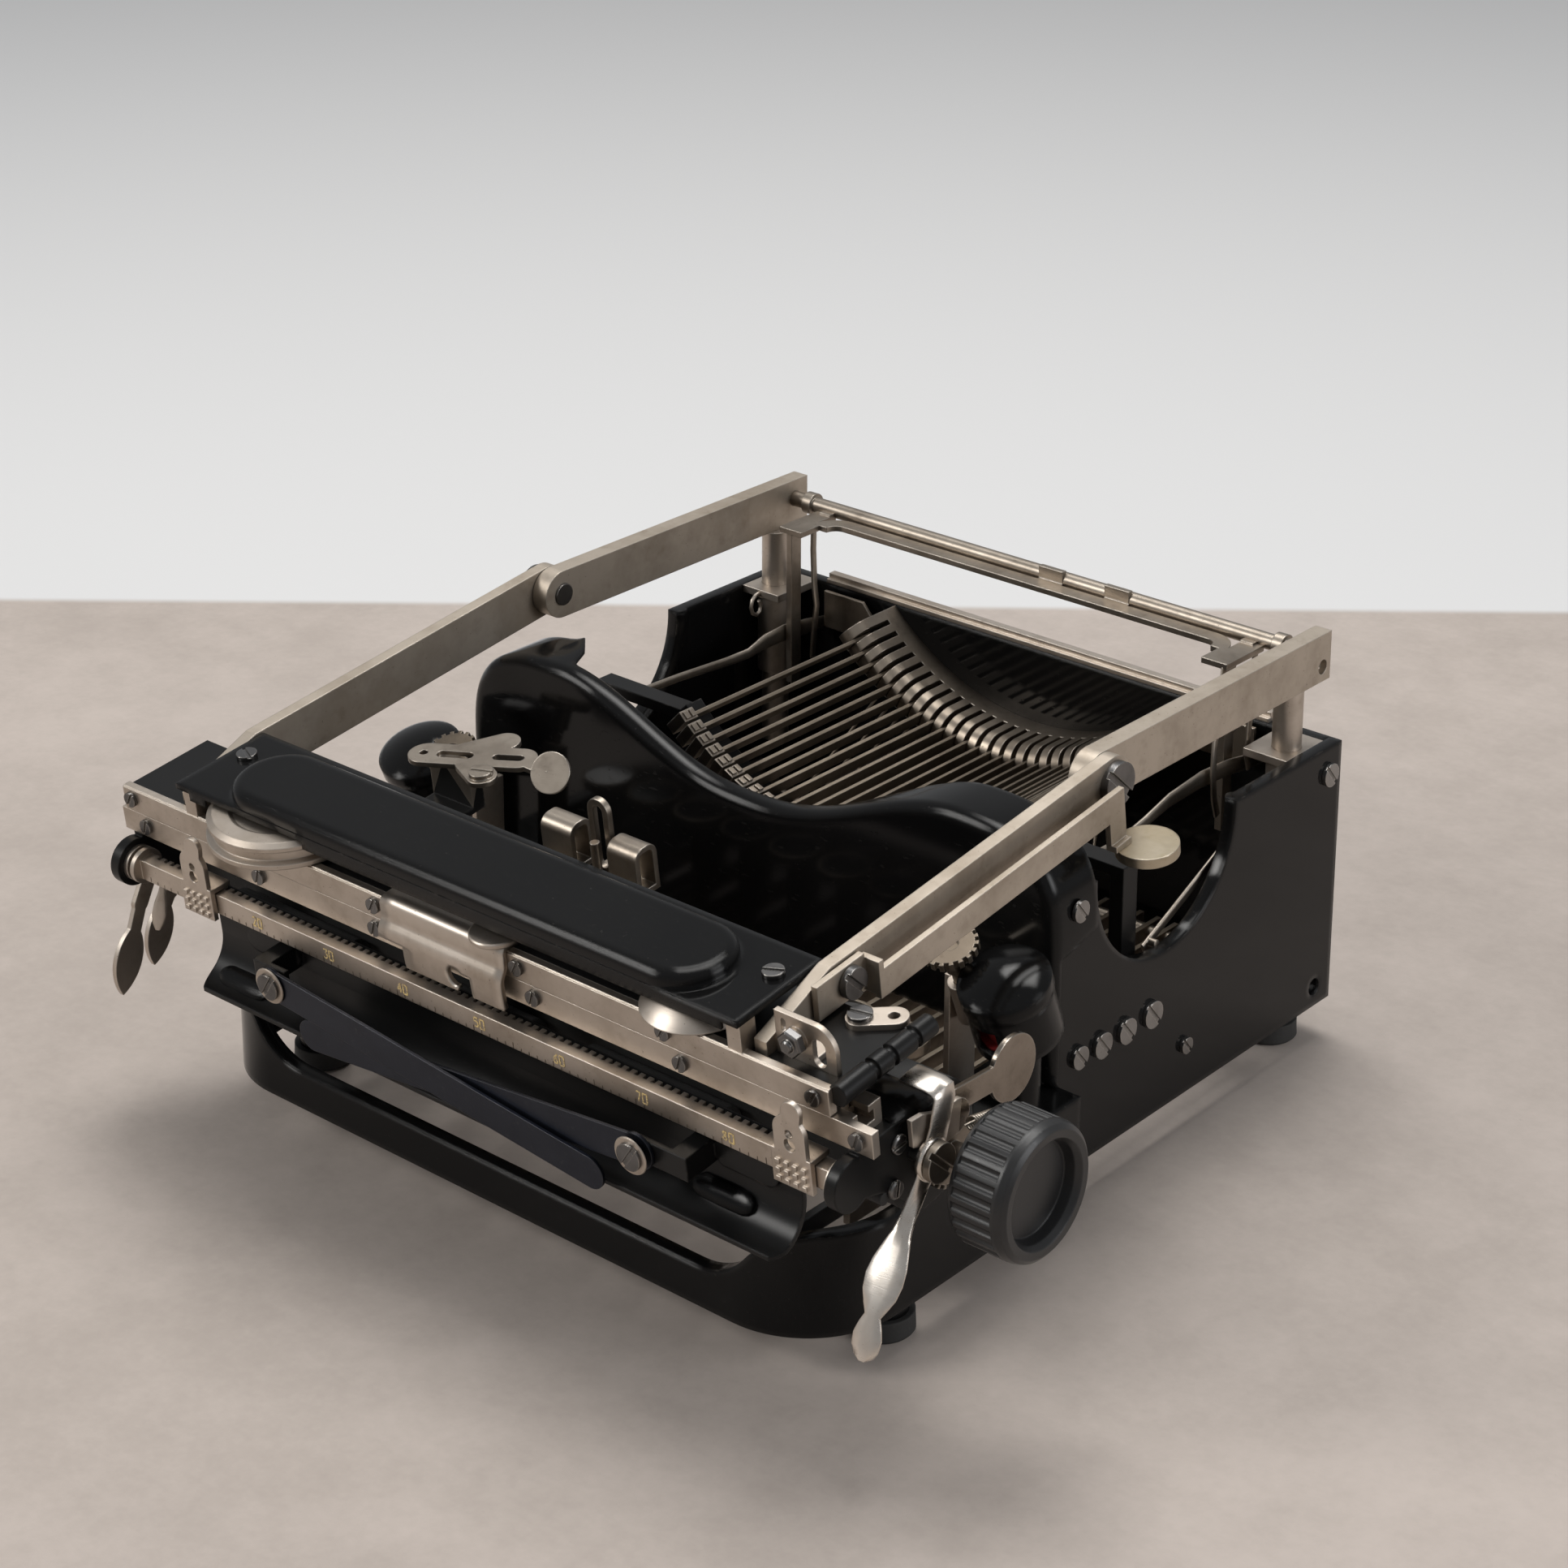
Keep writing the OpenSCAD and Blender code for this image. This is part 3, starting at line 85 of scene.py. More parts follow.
# %% [markdown]
# ## Camera
# The photograph is a crop, so its optical axis isn't in the middle of the frame. A longer lens with a
# little shift gives the same picture as the crop does. The place and angles were solved from straight
# edges of the machine.

# %% Camera
IMAGE = 1932
SENSOR = 36
FOCAL_PX = 4342.2
AXIS_PX = (1044.5, 395.8)
YAW, PITCH, ROLL = (math.radians(a) for a in (39.86, 17.39, 0.47))
CAMERA_FROM_PIVOT = Vector((536.43, -628.06, 353.54))

look = Vector((-math.sin(YAW) * math.cos(PITCH), math.cos(YAW) * math.cos(PITCH), -math.sin(PITCH)))
right = Vector((math.cos(YAW), math.sin(YAW), 0))
up = right.cross(look)
right_rolled = right * math.cos(ROLL) + up * math.sin(ROLL)
up_rolled = up * math.cos(ROLL) - right * math.sin(ROLL)

camera_data = bpy.data.cameras.new("photo_camera")
camera_data.sensor_width = SENSOR
camera_data.lens = SENSOR * FOCAL_PX / IMAGE
camera_data.shift_x = (IMAGE / 2 - AXIS_PX[0]) / IMAGE
camera_data.shift_y = (AXIS_PX[1] - IMAGE / 2) / IMAGE
camera_data.clip_start = 0.01
camera = bpy.data.objects.new("photo_camera", camera_data)
bpy.context.scene.collection.objects.link(camera)
turn = Matrix((right_rolled, up_rolled, -look)).transposed().to_4x4()
camera.matrix_world = Matrix.Translation(PIVOT + CAMERA_FROM_PIVOT * MM) @ turn
bpy.context.scene.camera = camera
print("lens", round(camera_data.lens, 2), "mm")

# %% [markdown]
# ## Floor and light
# Nickel and lacquer show what stands round them, so the light matters more than their own colours.
# Black gloss has to mirror something dark, or it turns grey: the world is kept dim and the work is done
# by soft boxes. One hangs above and lights the brushed tops, one stands at the front left and draws the
# bright side of every round part, and a weaker one at the right keeps the shadows open.

# %% Floor and soft boxes
FLOOR = 6
AIM = (0, 0, 0.05)
corners = [(-FLOOR, -FLOOR, 0), (FLOOR, -FLOOR, 0), (FLOOR, FLOOR, 0), (-FLOOR, FLOOR, 0)]
floor_mesh = bpy.data.meshes.new("floor")
floor_mesh.from_pydata(corners, [], [(0, 1, 2, 3)])
floor = bpy.data.objects.new("floor", floor_mesh)
bpy.context.scene.collection.objects.link(floor)


def soft_box(name, place, size, power, colour):
    """A square area light at place that faces the machine."""
    data = bpy.data.lights.new(name, "AREA")
    data.size = size
    data.energy = power
    data.color = colour
    lamp = bpy.data.objects.new(name, data)
    bpy.context.scene.collection.objects.link(lamp)
    lamp.location = place
    lamp.rotation_euler = (Vector(AIM) - Vector(place)).to_track_quat("-Z", "Y").to_euler()


soft_box("top_box", (-0.25, 0.35, 1.5), 0.8, 17.5, (1, 0.985, 0.96))
soft_box("left_box", (-0.92, -1.2, 0.97), 0.5, 12, (1, 0.98, 0.95))
soft_box("right_box", (1.35, 0.3, 0.6), 0.6, 7, (0.98, 0.985, 1))

world = bpy.data.worlds.new("studio")
bpy.context.scene.world = world
world.use_nodes = True
background = world.node_tree.nodes["Background"]
background.inputs["Color"].default_value = (0.95, 0.97, 1, 1)
background.inputs["Strength"].default_value = 0.34
bpy.context.scene.view_settings.view_transform = "Standard"

# %% [markdown]
# ## Shader maths as Python
# A finish is a small sum of noises and masks. Building it node by node is hard to read, so one class
# wraps a socket and turns +, - and * into Math nodes, and one method makes every other kind of node.

# %% Finish builder
class Val:
    """A socket of one finish. Sums of these add Math nodes."""

    def __init__(self, finish, socket):
        self.finish = finish
        self.socket = socket

    def _math(self, operation, first, second):
        return self.finish.node("ShaderNodeMath", {"operation": operation}, {0: first, 1: second})

    def __add__(self, other):
        return self._math("ADD", self, other)

    __radd__ = __add__

    def __sub__(self, other):
        return self._math("SUBTRACT", self, other)

    def __rsub__(self, other):
        return self._math("SUBTRACT", other, self)

    def __mul__(self, other):
        return self._math("MULTIPLY", self, other)

    __rmul__ = __mul__


class Finish:
    """A material whose nodes are made by one method."""

    def __init__(self, name):
        self.mat = bpy.data.materials.new(name)
        self.mat.use_nodes = True
        self.tree = self.mat.node_tree
        self.shader = self.tree.nodes["Principled BSDF"]
        self.place = None

    def put(self, socket, value):
        """Links a value of the sum, or sets a constant."""
        if isinstance(value, Val):
            self.tree.links.new(value.socket, socket)
        else:
            socket.default_value = value

    def node(self, kind, settings=None, sockets=None, out=0):
        """Makes one node and gives back one of its outputs."""
        made = self.tree.nodes.new(kind)
        for name, value in (settings or {}).items():
            setattr(made, name, value)
        for name, value in (sockets or {}).items():
            self.put(made.inputs[name], value)
        return Val(self, made.outputs[out])

    def at(self):
        """Place on the piece, in metres of the machine's own frame."""
        if self.place is None:
            self.place = self.node("ShaderNodeTexCoord", out="Object")
        return self.place

    def stretched(self, x, y, z):
        """The same place with each direction scaled, for streaks."""
        return self.node("ShaderNodeMapping", None, {"Vector": self.at(), "Scale": (x, y, z)})

    def noise(self, scale, detail=3.0, rough=0.55, where=None):
        """Clouds from 0 to 1; scale is cells per metre."""
        sockets = {"Vector": where or self.at(), "Scale": scale, "Detail": detail, "Roughness": rough}
        return self.node("ShaderNodeTexNoise", None, sockets, out="Fac")

    def ramp(self, value, low, high):
        """0 below low, 1 above high, smooth between."""
        sockets = {"Value": value, "From Min": low, "From Max": high}
        return self.node("ShaderNodeMapRange", {"interpolation_type": "SMOOTHSTEP"}, sockets)

    def mix(self, share, first, second):
        """Two colours mixed by share."""
        sockets = {"Factor": share, 6: first, 7: second}
        return self.node("ShaderNodeMix", {"data_type": "RGBA"}, sockets, out=2)

    def dot(self, first, second):
        """Dot product of two directions or places."""
        sockets = {0: first, 1: second}
        return self.node("ShaderNodeVectorMath", {"operation": "DOT_PRODUCT"}, sockets, out="Value")

    def edges(self, radius):
        """1 along sharp edges, 0 on flats: how far a rounded normal leans from the true one."""
        soft = self.node("ShaderNodeBevel", {"samples": 4}, {"Radius": radius})
        hard = self.node("ShaderNodeNewGeometry", out="True Normal")
        return self.ramp(1 - self.dot(soft, hard), 0.01, 0.2)

    def bump(self, height, distance, strength=1.0, radius=None):
        """A Bump node over a slightly rounded edge."""
        sockets = {"Height": height, "Distance": distance, "Strength": strength}
        if radius:
            sockets["Normal"] = self.node("ShaderNodeBevel", {"samples": 4}, {"Radius": radius})
        return self.node("ShaderNodeBump", None, sockets)

    def done(self, **sockets):
        """Puts the results on the shader and gives back the material."""
        for name, value in sockets.items():
            self.put(self.shader.inputs[name.replace("_", " ")], value)
        return self.mat


def rgb(r, g, b):
    """An opaque colour."""
    return (r, g, b, 1)


print("finish builder ready")

# %% [markdown]
# ## Aged nickel
# The plating is a warm grey that has yellowed and gone cloudy. Clouds of two sizes mix a clean and a
# tarnished colour, long fine streaks along the part give the brushed look, and edges are rubbed bright.

# %% Nickel
RUBBED_BRIGHT = rgb(0.72, 0.67, 0.6)
PIT = rgb(0.1, 0.08, 0.065)


def nickel(name, clean, tarnished, rough, streak=(60, 60, 900), rub=0.4):
    """Cloudy plating; streak scales the brushed lines and rub is how bright the edges are."""
    f = Finish(name)
    clouds = f.noise(48, 4, 0.62)
    stains = f.ramp(f.noise(210, 3, 0.6), 0.52, 0.75)
    lines = f.noise(7, 2, 0.5, f.stretched(*streak))
    worn = f.edges(0.0006)
    share = f.ramp(clouds, 0.36, 0.7) * 0.7 + stains * 0.3
    colour = f.mix(share, clean, tarnished)
    colour = f.mix(worn * rub, colour, RUBBED_BRIGHT)
    pits = f.ramp(f.noise(1500, 2, 0.5), 0.68, 0.78)
    colour = f.mix(pits * 0.5, colour, PIT)
    roughness = rough + clouds * 0.12 + lines * 0.08 + pits * 0.15 - worn * 0.06
    normal = f.bump(lines * 0.6 + pits * -0.8, 0.00003, 0.5, 0.0004)
    return f.done(Base_Color=colour, Metallic=1.0, Roughness=roughness, Normal=normal)


NICKEL = nickel("aged_nickel", rgb(0.54, 0.48, 0.42), rgb(0.36, 0.305, 0.25), 0.34)
NICKEL_BRUSHED = nickel("brushed_nickel", rgb(0.49, 0.43, 0.362), rgb(0.31, 0.26, 0.205), 0.42,
                        streak=(900, 60, 900), rub=0.3)
NICKEL_DARK = nickel("sooty_nickel", rgb(0.36, 0.315, 0.265), rgb(0.17, 0.142, 0.115), 0.3)
NICKEL_BRIGHT = nickel("bright_nickel", rgb(0.72, 0.67, 0.61), rgb(0.52, 0.455, 0.39), 0.19)
NICKEL_GLOSS = nickel("tarnished_gloss", rgb(0.3, 0.26, 0.22), rgb(0.17, 0.142, 0.115), 0.12)
STEEL_DARK = nickel("dark_steel", rgb(0.32, 0.272, 0.222), rgb(0.15, 0.124, 0.098), 0.31)
BAR_STEEL = nickel("browned_bars", rgb(0.27, 0.225, 0.175), rgb(0.125, 0.1, 0.076), 0.38,
                   streak=(60, 60, 60), rub=0.2)
SCREW_GREY = nickel("screw_grey", rgb(0.32, 0.312, 0.305), rgb(0.14, 0.135, 0.13), 0.24,
                    streak=(300, 300, 300), rub=0.3)
SCREW_STEEL = nickel("screw_steel", rgb(0.17, 0.168, 0.168), rgb(0.075, 0.072, 0.07), 0.22,
                     streak=(300, 300, 300), rub=0.3)
BRASS = nickel("plated_brass", rgb(0.56, 0.5, 0.4), rgb(0.36, 0.3, 0.2), 0.24)
print("plated and steel finishes", 10)

# %% [markdown]
# ## Black lacquer
# Stove-dried black lacquer is one deep gloss over black. Its look is all in the reflections, so the
# colour stays near black, a faint haze and hair scratches make the gloss uneven, the rounded edges catch
# a line of light, and a few corners are rubbed through to a brown-grey primer.

# %% Lacquer
PRIMER = rgb(0.2, 0.175, 0.15)
DUST = rgb(0.12, 0.11, 0.1)


def lacquer(name, gloss, wear, black=0.0035, radius=0.0012):
    """Deep black gloss; wear bares the primer at edges and radius rounds them."""
    f = Finish(name)
    haze = f.noise(34, 4, 0.55)
    scratch = f.ramp(f.noise(9, 1, 0.4, f.stretched(40, 900, 130)), 0.71, 0.74)
    specks = f.ramp(f.noise(700, 2, 0.5), 0.73, 0.78)
    rubbed = f.edges(0.0008) * f.ramp(f.noise(150, 4, 0.7), 0.55, 0.7) * wear
    colour = f.mix(haze, rgb(black, black, black * 1.06), rgb(black * 2, black * 1.95, black * 1.9))
    colour = f.mix(specks * 0.1 + scratch * 0.04, colour, DUST)
    colour = f.mix(rubbed, colour, PRIMER)
    roughness = gloss + haze * 0.1 + scratch * 0.12 + specks * 0.1 + rubbed * 0.25
    normal = f.bump(haze + scratch * -0.15, 0.00004, 0.25, radius)
    return f.done(Base_Color=colour, Roughness=roughness, Normal=normal, Specular_IOR_Level=0.2)


LACQUER = lacquer("black_lacquer", 0.05, 0.4, radius=0.0022)
LACQUER_SATIN = lacquer("satin_lacquer", 0.27, 0.5, 0.005, 0.0007)
print("lacquers", 2)

# %% [markdown]
# ## Blued steel, rubber and the rest
# The paper arms are heat-blued: near black with a blue cast that turns grey where rubbed. The feet and
# platen are old rubber, dull and dusty, and the knob is a harder, smoother rubber. The key faces are card
# under glass, and the ribbon is woven, inked in two colours.

# %% Blued steel and rubbers
def blued(name, base, rubbed_colour):
    """Heat-blued steel, rubbed at edges and in patches."""
    f = Finish(name)
    clouds = f.noise(120, 4, 0.6)
    worn = f.edges(0.0005) * 0.6 + f.ramp(f.noise(420, 3, 0.7), 0.58, 0.74) * 0.3
    colour = f.mix(clouds, base, rgb(0.035, 0.04, 0.055))
    colour = f.mix(worn, colour, rubbed_colour)
    normal = f.bump(f.noise(1400, 2, 0.5), 0.00002, 0.4, 0.0003)
    return f.done(Base_Color=colour, Metallic=0.85, Roughness=0.26 + clouds * 0.18, Normal=normal)


def rubber(name, base, dusty, rough, grain):
    """Dull rubber; dust lies in clouds and along edges, grain is the height of its skin."""
    f = Finish(name)
    clouds = f.noise(90, 4, 0.6)
    specks = f.ramp(f.noise(1300, 2, 0.5), 0.6, 0.72)
    worn = f.edges(0.0009)
    colour = f.mix(clouds * 0.6 + specks * 0.2 + worn * 0.25, base, dusty)
    normal = f.bump(f.noise(2200, 3, 0.6) * 0.6 + clouds * 0.4, grain, 0.5, 0.0006)
    return f.done(Base_Color=colour, Roughness=rough + clouds * 0.12 - specks * 0.05, Normal=normal)


BLUED_STRIP = blued("blued_strip", rgb(0.012, 0.015, 0.024), rgb(0.075, 0.075, 0.08))
RUBBER = rubber("old_rubber", rgb(0.012, 0.012, 0.012), rgb(0.05, 0.048, 0.045), 0.68, 0.00006)
HARD_RUBBER = rubber("hard_rubber", rgb(0.006, 0.006, 0.0063), rgb(0.024, 0.024, 0.025), 0.33, 0.00003)
print("blued and rubber finishes", 3)

# %% Key faces and ribbon
CUP_LEAN = math.radians(22)


def card_face(name):
    """Dark card under a disc of glass."""
    f = Finish(name)
    clouds = f.noise(130, 3, 0.6)
    colour = f.mix(clouds, rgb(0.012, 0.012, 0.013), rgb(0.03, 0.028, 0.026))
    return f.done(Base_Color=colour, Roughness=0.08 + clouds * 0.1, Coat_Weight=0.5 + clouds * 0.3)


def inked_ribbon(name, node):
    """Black above and red below along the reel's own leaning axis, with a fine plain weave."""
    f = Finish(name)
    axis = Vector((0, -math.sin(CUP_LEAN), math.cos(CUP_LEAN)))
    low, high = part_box(node)
    middle = axis.dot((Vector(low) + Vector(high)) / 2)
    weave = f.node("ShaderNodeTexWave", {"wave_type": "BANDS", "bands_direction": "Z"},
                   {"Vector": f.at(), "Scale": 900.0}, out="Fac")
    upper = f.ramp(f.dot(f.at(), tuple(axis)) - middle, -0.0002, 0.0002)
    colour = f.mix(upper, rgb(0.3, 0.012, 0.012), rgb(0.012, 0.011, 0.012))
    normal = f.bump(weave, 0.00005, 0.6)
    return f.done(Base_Color=colour, Roughness=0.75 + weave * 0.1, Normal=normal)


KEY_CARD = card_face("key_card")
RIBBON = inked_ribbon("inked_ribbon", "spool_left")
print("key and ribbon finishes", 2)

# %% [markdown]
# ## Dressing the CAD pieces
# Each solid keeps its mesh and only gets a finish. Curved faces are shaded smooth, and edges sharper
# than 35 degrees stay sharp, so round parts don't show their facets and flat plates stay crisp.

# %% Give every solid its finish
SHARP = 35
DRESS = [
    (LACQUER, "keyboard_frame side_walls rear_plate front_shield spool_cups cover foot_cups"),
    (LACQUER_SATIN, "frame_plate end_plates paper_table type_rest"),
    (NICKEL, "rear_bar post_bushings shift_posts frame_rail carriage_rail "
             "scale_rail centre_bracket margin_stop_left margin_stop_right end_bracket "
             "carriage_release paper_release drum bell"),
    (NICKEL_BRUSHED, "rear_links front_links backspace_lever"),
    (STEEL_DARK, "type_segment guide_bar"),
    (NICKEL_DARK, "lever_comb shift_keys cross_rod universal_bar type_guide "
                  "escapement_bracket platen_shaft"),
    (SCREW_GREY, "panel_screws"),
    (BAR_STEEL, "typebars live_typebar key_levers live_key gear_left gear_right"),
    (NICKEL_BRIGHT, "line_space_lever"),
    (SCREW_STEEL, "frame_screws carriage_screws"),
    (BLUED_STRIP, "paper_arm_left paper_arm_right"),
    (RUBBER, "feet platen feed_rolls"),
    (HARD_RUBBER, "platen_knob space_bar"),
    (KEY_CARD, "key_faces live_key_face"),
    (BRASS, "backspace_key"),
    (RIBBON, "spool_left spool_right"),
]
dressed = 0
for finish, names in DRESS:
    for name in names.split():
        mesh = nodes[name].data
        mesh.materials.clear()
        mesh.materials.append(finish)
        mesh.shade_smooth()
        mesh.set_sharp_from_angle(angle=math.radians(SHARP))
        dressed += 1
print("dressed", dressed, "of", len(nodes))

# %% [markdown]
# ## Second finishes on some faces
# A few solids are two things in one: the type slugs are harder and darker than the thin bars they sit
# on, the screws that hold the paper arms are bare steel while their trough is black, the foot of the
# escapement bracket is black, and the guard plate at the right end is tarnished. Their faces are picked
# by where they are, so the mesh itself stays as it was.

# %% Slugs, screws, foot and guard
def paint_where(name, finish, test):
    """Gives finish to the faces of a node whose middle passes test."""
    mesh = nodes[name].data
    mesh.materials.append(finish)
    picked = [face for face in mesh.polygons if test(face.center)]
    for face in picked:
        face.material_index = len(mesh.materials) - 1
    print(name, "faces picked", len(picked))


# directions of the folded carriage: along the arms, square to them, and across the machine
lean = arm_point(0, 1, 0) - arm_point(0, 0, 0)
rise = arm_point(0, 0, 1) - arm_point(0, 0, 0)
sideways = Vector((1, 0, 0))
upright = Vector((0, 0, 1))

slug_end = base_point(0, 11.2, 0).y
for name in ("typebars", "live_typebar"):
    paint_where(name, STEEL_DARK, lambda c: c.y < slug_end)
screw_front = arm_point(0, -141.35, -30.6)
paint_where("paper_table", SCREW_STEEL, lambda c: (c - screw_front).dot(lean) < 0)
foot_level = arm_point(0, -80, -4)
paint_where("escapement_bracket", LACQUER_SATIN, lambda c: (c - foot_level).dot(rise) < 0)
lever_screw = base_point(126.4, 0, 0).x
paint_where("carriage_screws", NICKEL_DARK, lambda c: c.x > lever_screw)
guard_edge = base_point(119.5, -96, 0)
paint_where("carriage_rail", NICKEL_GLOSS, lambda c: c.x > guard_edge.x and c.y > guard_edge.y)

# %% [markdown]
# ## A tiny mesh kit
# Wires, springs, straps and marks are all simple sweeps. One class collects points and faces, so that a
# set of twenty wires becomes one piece, and one function turns it into an object that rides on a body.

# %% Shapes from sweeps
# a slightly crowned section, as rolled strip has
CROWN = [(1, 0.3), (0.8, 0.85), (0.3, 1), (-0.3, 1), (-0.8, 0.85), (-1, 0.3),
         (-1, -0.3), (-0.8, -0.85), (-0.3, -1), (0.3, -1), (0.8, -0.85), (1, -0.3)]


def circle(centre, side, other, radius, steps):
    """Points round a circle in the plane of side and other."""
    turns = (2 * math.pi * k / steps for k in range(steps))
    return [centre + (side * math.cos(a) + other * math.sin(a)) * radius for a in turns]


def heading(path, i):
    """The way a path goes at its point i."""
    return (path[min(i + 1, len(path) - 1)] - path[max(i - 1, 0)]).normalized()


class Shape:
    """Points and faces of one piece, in metres."""

    def __init__(self):
        self.points = []
        self.faces = []

    def rings(self, rings):
        """Skins a list of equal rings and caps both ends."""
        base, count = len(self.points), len(rings[0])
        for ring in rings:
            self.points += [tuple(p) for p in ring]
        for i in range(len(rings) - 1):
            for j in range(count):
                k = (j + 1) % count
                row = base + i * count
                self.faces.append((row + j, row + k, row + count + k, row + count + j))
        last = base + (len(rings) - 1) * count
        self.faces.append(tuple(base + j for j in reversed(range(count))))
        self.faces.append(tuple(last + j for j in range(count)))
        return self

    def wire(self, path, radius, sides=8):
        """A round wire along path."""
        rings, side = [], None
        for i, point in enumerate(path):
            ahead = heading(path, i)
            if side is None:
                side = ahead.orthogonal().normalized()
            side = (side - ahead * side.dot(ahead)).normalized()
            rings.append(circle(point, side, ahead.cross(side), radius, sides))
        return self.rings(rings)

    def strap(self, path, across, width, thick):
        """A flat strap along path; its width and the way it faces may change from point to point."""
        rings = []
        for i, point in enumerate(path):
            ahead = heading(path, i)
            way = across[i] if isinstance(across, list) else across
            wide = width[i] if isinstance(width, list) else width
            side = (way - ahead * way.dot(ahead)).normalized() * wide / 2
            face = ahead.cross(side).normalized() * thick / 2
            rings.append([point + side * a + face * b for a, b in CROWN])
        return self.rings(rings)

    def turned(self, profile, centre, axis, steps=32):
        """A turned piece: profile is (radius, height) pairs along axis, in mm."""
        axis = axis.normalized()
        side = axis.orthogonal().normalized()
        other = axis.cross(side)
        return self.rings([circle(centre + axis * (h * MM), side, other, r * MM, steps)
                           for r, h in profile])


def add_piece(name, shape, finish, body, sharp=SHARP):
    """An object from a shape, riding on a body."""
    mesh = bpy.data.meshes.new(name)
    mesh.from_pydata(shape.points, [], shape.faces)
    skin = bmesh.new()
    skin.from_mesh(mesh)
    bmesh.ops.recalc_face_normals(skin, faces=skin.faces)
    skin.to_mesh(mesh)
    skin.free()
    mesh.materials.append(finish)
    mesh.shade_smooth()
    mesh.set_sharp_from_angle(angle=math.radians(sharp))
    obj = bpy.data.objects.new(name, mesh)
    bpy.context.scene.collection.objects.link(obj)
    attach(obj, body)
    print(name, "faces", len(shape.faces))
    return obj


def coil(start, end, radius, turns, step=10):
    """Points of a coil spring between two hooks."""
    axis = end - start
    side = axis.orthogonal().normalized()
    other = axis.normalized().cross(side)
    count = turns * step
    path = [start]
    for i in range(count + 1):
        a = 2 * math.pi * i / step
        middle = start + axis * (0.12 + 0.76 * i / count)
        path.append(middle + (side * math.cos(a) + other * math.sin(a)) * radius)
    return path + [end]


print("mesh kit ready: rings, wire, strap, turned and coil")

# %% [markdown]
# ## Numbers on the margin scale
# The scale bar carries a number for every ten letters, stamped and filled with gold paint. A stamped
# number is a few straight strokes, so each digit is drawn as strokes on a small grid and laid on the
# bar as thin straps, a hair proud of the face.

# %% Margin scale
STROKES = {
    "0": [(0, 0), (0, 4), (2, 4), (2, 0), (0, 0)], "1": [(0.4, 3.2), (1, 4), (1, 0)],
    "2": [(0, 3.3), (0.5, 4), (1.6, 4), (2, 3.2), (0, 0), (2, 0)],
    "3": [(0, 4), (2, 4), (1, 2.4), (2, 1.5), (1.6, 0.2), (0.4, 0), (0, 0.7)],
    "4": [(1.5, 0), (1.5, 4), (0, 1.2), (2, 1.2)],
    "5": [(2, 4), (0.2, 4), (0, 2.4), (1.5, 2.5), (2, 1.4), (1.5, 0.1), (0, 0.3)],
    "6": [(1.8, 4), (0.4, 2.6), (0, 1), (0.6, 0), (1.5, 0), (2, 1), (1.4, 2.1), (0.3, 1.9)],
    "7": [(0, 4), (2, 4), (0.8, 0)],
    "8": [(1, 2.2), (0.1, 3.1), (1, 4), (1.9, 3.1), (0, 0.9), (1, 0), (2, 0.9), (1, 2.2)],
}
LETTER = 2.54
DIGIT_STEP, GRID = 1.9, 0.62
NUMBERS_LEFT, NUMBERS_FACE, NUMBERS_LOW = -101, -133.66, -23.6
STROKE_WIDE, STROKE_PROUD = 0.44 * MM, 0.08 * MM
gold = Finish("gold_fill")
flecks = gold.noise(1900, 2, 0.6)
gilt = gold.mix(gold.ramp(flecks, 0.45, 0.6), rgb(0.78, 0.6, 0.27), rgb(0.4, 0.31, 0.19))
GOLD = gold.done(Base_Color=gilt, Metallic=0.2, Roughness=0.5 + flecks * 0.2)
marks = Shape()
for tens in range(1, 9):
    for place, digit in enumerate(str(tens * 10)):
        left = NUMBERS_LEFT + (tens - 0.6) * 10 * LETTER + place * DIGIT_STEP
        spots = [arm_point(left + x * GRID, NUMBERS_FACE, NUMBERS_LOW + y * GRID)
                 for x, y in STROKES[digit]]
        for first, second in zip(spots, spots[1:]):
            side = (second - first).cross(lean)
            marks.strap([first, second], side, STROKE_WIDE, STROKE_PROUD)
add_piece("scale_numbers", marks, GOLD, "carriage")

# %% [markdown]
# ## Pull wires of the type basket
# Each key lever pulls its typebar through a thin wire. Seen through the side cut-outs they fill the
# basket with fine slanted lines. Each is a straight wire, bent forward where it hooks into its lever.

# %% Pull wires
BARS, BAR_LEN, FAN_DEG = 28, 75.5, 86
PRINT_Z, SEGMENT_Y = 132.876, 84.044
LEVER_PITCH, LEVER_Y, LEVER_Z = 5.6, 48, 31.4
FREE = (13, 14)  # room for the typebar that moves
wires = Shape()
reach = BAR_LEN + 2.1
for i in range(4, 24):
    if i in FREE:
        continue
    a = math.radians(i * FAN_DEG / (BARS - 1) - FAN_DEG / 2)
    top = base_point(math.sin(a) * reach, SEGMENT_Y - 9, PRINT_Z - math.cos(a) * reach)
    low = base_point((i - (BARS - 1) / 2) * LEVER_PITCH, LEVER_Y, LEVER_Z)
    hooked = low + Vector((0, -2, 0)) * MM
    wires.wire([hooked, low, low.lerp(top, 0.5), top], 0.5 * MM, 6)
add_piece("pull_wires", wires, BAR_STEEL, "base", 60)

# %% [markdown]
# ## Spring at the right end
# A small closed coil pulls the line-space lever back. It is one swept round wire, a coil with a straight
# tail at each end, and it rides on the carriage with the end plate.

# %% Spring
spring_path = coil(arm_point(129.2, -103, -21.5), arm_point(129.2, -86, -27.5), 1.4 * MM, 17)
spring = Shape().wire(spring_path, 0.3 * MM, 6)
add_piece("lever_spring", spring, NICKEL_DARK, "carriage", 60)

# %% [markdown]
# ## The front shield
# The shield is one pressed sheet: a flat front with a dip in the middle and two round shoulders, whose
# edge is rolled back into a hood over the type basket. A plate with a bead can't show that soft roll.
# Here the outline is a closed list of points, and the same small profile (flat, roll, hood, inner side)
# is set out from each point. Skinning the loops gives the shell, and it stands for the CAD plate.

